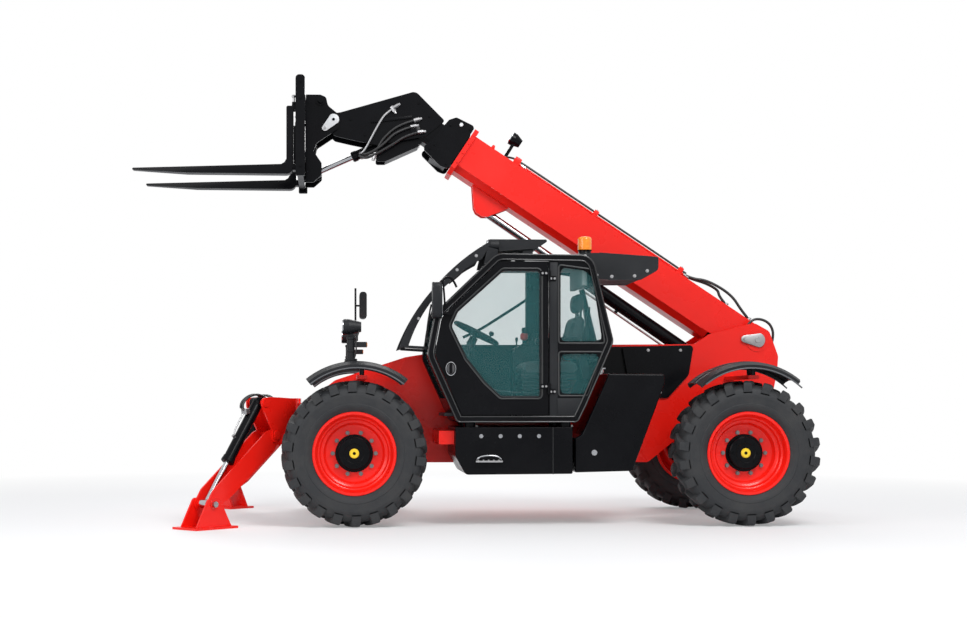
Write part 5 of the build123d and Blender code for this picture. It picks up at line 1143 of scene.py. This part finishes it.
def add_stabiliser_fittings():
    """Valve blocks, hose loops and foot pins of both stabilisers."""
    for side, name in SIDES:
        splay = sin(radians(STABILISER_SPLAY))
        out = Vector((splay, side * splay, 0))
        across = Vector((out.y, -out.x, 0)) * side
        ahead, left, height = STABILISER_PIVOT
        pivot = spot(ahead, side * left, height)
        top = pivot + out * 0.12 + Vector((0, 0, 0.255))
        foot = pivot + out * STABILISER_REACH + Vector((0, 0, STABILISER_FOOT_HEIGHT - height))
        way = (foot - top).normalized()
        over = Vector((0, 0, 1)) - way * way.z
        over.normalize()
        shape = bmesh.new()
        block = top + way * 0.13 + over * 0.068
        rod(shape, block - across * 0.03, block + across * 0.03, 0.03, 4, 0.003)
        rod(shape, block + over * 0.02, block + over * 0.045, 0.014, 6)
        rod(shape, top + way * 0.36 + over * 0.042, top + way * 0.36 + over * 0.07, 0.013, 6)
        finished(shape, "stabiliser_valve_" + name, "steel", "stabiliser_barrel_" + name)
        course = ((0.15, 0.07, 0.012), (0.2, 0.072, 0.012), (0.33, 0.072, 0.006), (0.362, 0.06, 0))
        pipe = [top + way * along + over * above + across * aside for along, above, aside in course]
        lines("stabiliser_pipe_" + name, [pipe], 0.006, "steel", "stabiliser_barrel_" + name, at=as_given)
        hoses, behind = [], top - out * 0.08
        for shift in (-0.012, 0.014):
            hoses.append([block + over * 0.045 + across * shift,
                          block + over * 0.08 + across * shift - way * 0.03,
                          top + over * 0.1 + across * shift - way * 0.02 - out * 0.02,
                          behind + Vector((0, 0, 0.045)) + across * shift,
                          top - out * 0.12 + Vector((0, 0, -0.02)) + across * shift])
        lines("stabiliser_hoses_" + name, hoses, 0.009, "hose", "stabiliser_barrel_" + name, at=as_given)
        caps = [(foot + across * 0.0945 * turn, across * turn) for turn in (1, -1)]
        bolts("stabiliser_foot_pins_" + name, caps, 0.05, "steel", "stabiliser_leg_" + name, at=as_given,
              washer=0.7)
        ring = bmesh.new()
        turned(ring, [(-0.016, 0.0455), (-0.012, 0.053), (0.006, 0.053), (0.01, 0.046), (0.01, 0.0225),
                      (-0.016, 0.0225)], top + way * 0.555, way, 32, ring=True)
        finished(ring, "stabiliser_gland_" + name, "black_paint", "stabiliser_barrel_" + name)


# ---- body ---------------------------------------------------------------------------
BOOM_PIN_BOLT = (-3.259, 1.494)


def add_body_fittings():
    """Bolts, step, filler cap, boom pin retainers and tower hoses of the lower body."""
    bolts("side_panel_bolts", [((x, 1.1305, 0.705), OUT) for x in (-0.985, -1.135, -1.285, -1.435)], 0.021,
          "chrome", washer=0.75)
    bolts("tank_bolts", [((-1.873, 1.1005, 0.575), OUT)], 0.03, "chrome", washer=0.75)
    shape = bmesh.new()
    turned(shape, [(0, 0), (0, 0.03), (0.012, 0.03), (0.014, 0.038), (0.034, 0.038), (0.04, 0.032),
                   (0.042, 0)], spot(-1.935, 0.95, 1.189), UP, 32)
    box(shape, (-1.985, 0.941, 1.228), (-1.885, 0.959, 1.24), 0.004)
    finished(shape, "filler_cap", "chrome")
    lines("step_rail", [[(-0.945, 1.132, 0.52), (-0.95, 1.155, 0.53), (-0.99, 1.158, 0.555),
          (-1.1, 1.158, 0.555), (-1.14, 1.155, 0.53), (-1.145, 1.132, 0.52)]], 0.006, "chrome")
    shape = bmesh.new()
    box(shape, (-1.15, 1.1305, 0.502), (-0.94, 1.165, 0.516), 0.003)
    for x in (-0.96, -1.0, -1.04, -1.08, -1.12):
        box(shape, (x - 0.006, 1.134, 0.516), (x + 0.006, 1.162, 0.523), 0.002)
    finished(shape, "step_tread", "steel")
    lines("panel_joint", [along_side([(-1.545, 0.408), (-1.545, 0.773)], 1.131)], 0.0025, "seal", order=2)
    shape = bmesh.new()
    for face in (0.3205, -0.3125):
        side_slab(shape, pear(BOOM_PIVOT, BOOM_PIN_BOLT, 0.062, 0.03), face, 0.008, 0.002)
    finished(shape, "boom_pin_retainers", "steel")
    places = [((BOOM_PIN_BOLT[0], side * 0.3215, BOOM_PIN_BOLT[1]), (0, side, 0)) for side in (1, -1)]
    bolts("boom_retainer_bolts", places, 0.02, "steel", washer=0.7)
    shape = bmesh.new()
    for side in (1, -1):
        turned(shape, [(0, 0), (0, 0.024), (0.006, 0.022), (0.006, 0)],
               spot(BOOM_PIVOT[0], side * 0.3205, BOOM_PIVOT[1]), (0, side, 0), 28)
    finished(shape, "boom_pin_centres", "steel")
    lines("tower_hose_loops", [[(-3.3, 0.26, 1.61), (-3.33, 0.26, 1.66), (-3.42, 0.25, 1.665),
          (-3.5, 0.24, 1.62), (-3.53, 0.23, 1.52), (-3.5, 0.22, 1.42)]], 0.011, "hose")
    bolts("side_cover_bolts", [((x, 0.3145, z), OUT) for x, z in ((-2.09, 1.38), (-2.09, 1.05),
          (-2.55, 1.05), (-2.72, 1.4), (-2.45, 1.4))], 0.016, "steel")
    bolts("cab_floor_bolts", [((x, y, 0.7775), UP) for x in (-0.96, -1.71) for y in (0.5, 1.0)], 0.02,
          "steel")
    bolts("frame_bolts", [((x, side * 0.3005, z), (0, side, 0)) for side in (1, -1)
          for x, z in ((-0.3, 0.62), (-0.3, 0.8), (0.3, 0.62), (0.3, 0.8), (-2.8, 0.62), (-2.8, 0.8),
          (-3.25, 0.8), (-3.25, 0.95))], 0.026, "red_paint")


GRILLE_FACE = -1.1325


def add_engine_fittings():
    """Hood handle, vents, catches and seal, and the grille's bolts."""
    shape = bmesh.new()
    for x in (-1.2, -2.0):
        box(shape, (x - 0.05, -1.137, 1.06), (x + 0.05, -1.128, 1.135), 0.004)
        box(shape, (x - 0.022, -1.1505, 1.045), (x + 0.022, -1.132, 1.12), 0.006)
    finished(shape, "hood_catches", "dark_plastic")
    lines("hood_handle", [[(-1.5, -1.14, 1.18), (-1.51, -1.1655, 1.19), (-1.56, -1.168, 1.195),
          (-1.7, -1.168, 1.195), (-1.75, -1.1655, 1.19), (-1.76, -1.14, 1.18)]], 0.01, "dark_plastic",
          "engine_hood")
    shape = bmesh.new()
    for step in range(9):
        low = 1.215 + step * 0.014
        for rear, front in ((-2.2, -1.85), (-1.25, -0.98)):
            box(shape, (rear, -1.1475, low), (front, -1.1405, low + 0.007), 0.002)
    finished(shape, "hood_vents", "dark_plastic", "engine_hood")
    bolts("grille_bolts", [((x, GRILLE_FACE, z), IN) for x in (-2.15, -1.81, -1.47) for z in (0.61, 1.06)]
          + [((x, GRILLE_FACE, z), IN) for x in (-0.86, -1.3) for z in (0.58, 1.06)], 0.018, "steel")
    lines("hood_seal", [[(-0.84, -1.138, 1.108), (-2.25, -1.138, 1.108)]], 0.004, "seal", order=2)


FENDER_CENTRE = 0.66
FENDER_LIP_RADIUS = 0.574
FENDER_FRONT = -39
FENDER_SIDES = (1.2205, 0.7995)


def add_fender_lips():
    """Rolled lips along the fenders' edges, in a lighter grey that paints their highlight, and the lamp
    masts' collars and cables.
    """
    runs = []
    for axle, high in ((-0.02, 39), (-WHEELBASE - 0.015, 43)):
        for side in (1, -1):
            for face in FENDER_SIDES:
                angles = [radians(FENDER_FRONT + (high - FENDER_FRONT) * step / 24) for step in range(25)]
                runs.append([(axle - sin(angle) * FENDER_LIP_RADIUS, side * face, FENDER_CENTRE
                              + cos(angle) * FENDER_LIP_RADIUS) for angle in angles])
    # the lips' lighter grey is a painted highlight on the rolled edge
    lines("fender_lips", runs, 0.006, "fender_lip_highlight")
    shape = bmesh.new()
    for side in (1, -1):
        turned(shape, [(0, 0), (0, 0.05), (0.01, 0.05), (0.014, 0.04), (0.016, 0.032), (0.03, 0.0315),
                       (0.03, 0)], spot(0.025, side * MAST_Y, 1.296), UP, 28)
        for height in (1.36, 1.46):
            turned(shape, [(0, 0.0302), (0.004, 0.035), (0.02, 0.035), (0.024, 0.0302)],
                   spot(0.025, side * MAST_Y, height), UP, 28)
    finished(shape, "mast_collars", "dark_plastic")
    lines("mast_cables", [[(0.0, side * 0.975, 1.31), (-0.02, side * 0.985, 1.36),
          (-0.01, side * 0.985, 1.45), (-0.04, side * 0.975, 1.53)] for side in (1, -1)], 0.006, "hose")


# ---- stage --------------------------------------------------------------------------
CAMERA_PLACE = (1.057, 13.525, 0.986)
CAMERA_TURN = 180 - 2.268
CAMERA_LENS = 59.6
CAMERA_SHIFT = (0.0863, 0.0941)
FLOOR_HALF = 60.0
PALE = (1.0, 1.0, 1.0, 1)


def add_camera():
    """The picture's camera."""
    camera = put("camera", bpy.data.cameras.new("camera"))
    camera.data.lens = CAMERA_LENS
    camera.data.shift_x, camera.data.shift_y = CAMERA_SHIFT
    camera.data.clip_end = 300
    camera.location = CAMERA_PLACE
    camera.rotation_euler = (pi / 2, 0, radians(CAMERA_TURN))
    bpy.context.scene.camera = camera


def add_floor():
    """A pale floor that turns to plain white away from the machine."""
    mesh = bpy.data.meshes.new("floor")
    h = FLOOR_HALF
    mesh.from_pydata([(-h, -h, 0), (h, -h, 0), (h, h, 0), (-h, h, 0)], [], [(0, 1, 2, 3)])
    floor = put("floor", mesh)
    material = bpy.data.materials.new("floor_pale")
    material.use_nodes = True
    tree = material.node_tree
    surface = tree.nodes["Principled BSDF"]
    surface.inputs["Base Color"].default_value = (0.86, 0.86, 0.86, 1)
    surface.inputs["Roughness"].default_value = 0.6
    surface.inputs["Specular IOR Level"].default_value = 0.2
    place = add_node(tree, "ShaderNodeTexCoord")
    distance = add_node(tree, "ShaderNodeVectorMath", {"operation": "LENGTH"}, i0=place.outputs["Object"])
    far = add_node(tree, "ShaderNodeMapRange", Value=distance.outputs["Value"], From_Min=3.5, From_Max=9.0,
                   To_Min=0.25, To_Max=1.0)
    rays = add_node(tree, "ShaderNodeLightPath")
    seen = maths(tree, "MULTIPLY", far.outputs["Result"], rays.outputs["Is Camera Ray"])
    pale = add_node(tree, "ShaderNodeEmission", Color=PALE, Strength=1.0)
    mix = add_node(tree, "ShaderNodeMixShader", i0=seen, i1=surface.outputs[0], i2=pale.outputs[0])
    tree.links.new(mix.outputs[0], tree.nodes["Material Output"].inputs["Surface"])
    mesh.materials.append(material)


def add_light():
    """A white room to the eye and to mirrors, a softer one for the rest, and three lamps."""
    world = bpy.data.worlds.new("studio")
    bpy.context.scene.world = world
    world.use_nodes = True
    tree = world.node_tree
    tree.nodes.clear()
    rays = add_node(tree, "ShaderNodeLightPath")
    clear = maths(tree, "MAXIMUM", rays.outputs["Is Camera Ray"], rays.outputs["Is Glossy Ray"])
    clear = maths(tree, "MAXIMUM", clear, rays.outputs["Is Transmission Ray"])
    room = add_node(tree, "ShaderNodeBackground", Color=(0.9, 0.93, 1.0, 1), Strength=0.45)
    pale = add_node(tree, "ShaderNodeBackground", Color=PALE, Strength=1.0)
    mix = add_node(tree, "ShaderNodeMixShader", i0=clear, i1=room.outputs[0], i2=pale.outputs[0])
    out = add_node(tree, "ShaderNodeOutputWorld")
    tree.links.new(mix.outputs[0], out.inputs["Surface"])
    lamps = (("key", (-3.0, 7.0, 8.0), 4.0, 640), ("fill", (6.0, 6.0, 4.0), 5.0, 240),
             ("back", (0.0, -7.0, 6.0), 5.0, 320))
    for name, place, size, power in lamps:
        lamp = put(name, bpy.data.lights.new(name, "AREA"))
        lamp.data.size = size
        lamp.data.energy = power
        lamp.location = place
        lamp.rotation_euler = (Vector((0, 0, 1.2)) - Vector(place)).to_track_quat("-Z", "Y").to_euler()


dress_nodes()
add_camera()
add_wheels()
add_seat()
add_cab_trim()
add_controls()
add_lamps()
add_guard_fittings()
add_boom_fittings()
add_head_fittings()
add_forks()
add_cylinder_pipes()
add_stabiliser_fittings()
add_body_fittings()
add_engine_fittings()
add_fender_lips()
add_floor()
add_light()
bpy.context.scene.view_settings.view_transform = "Standard"
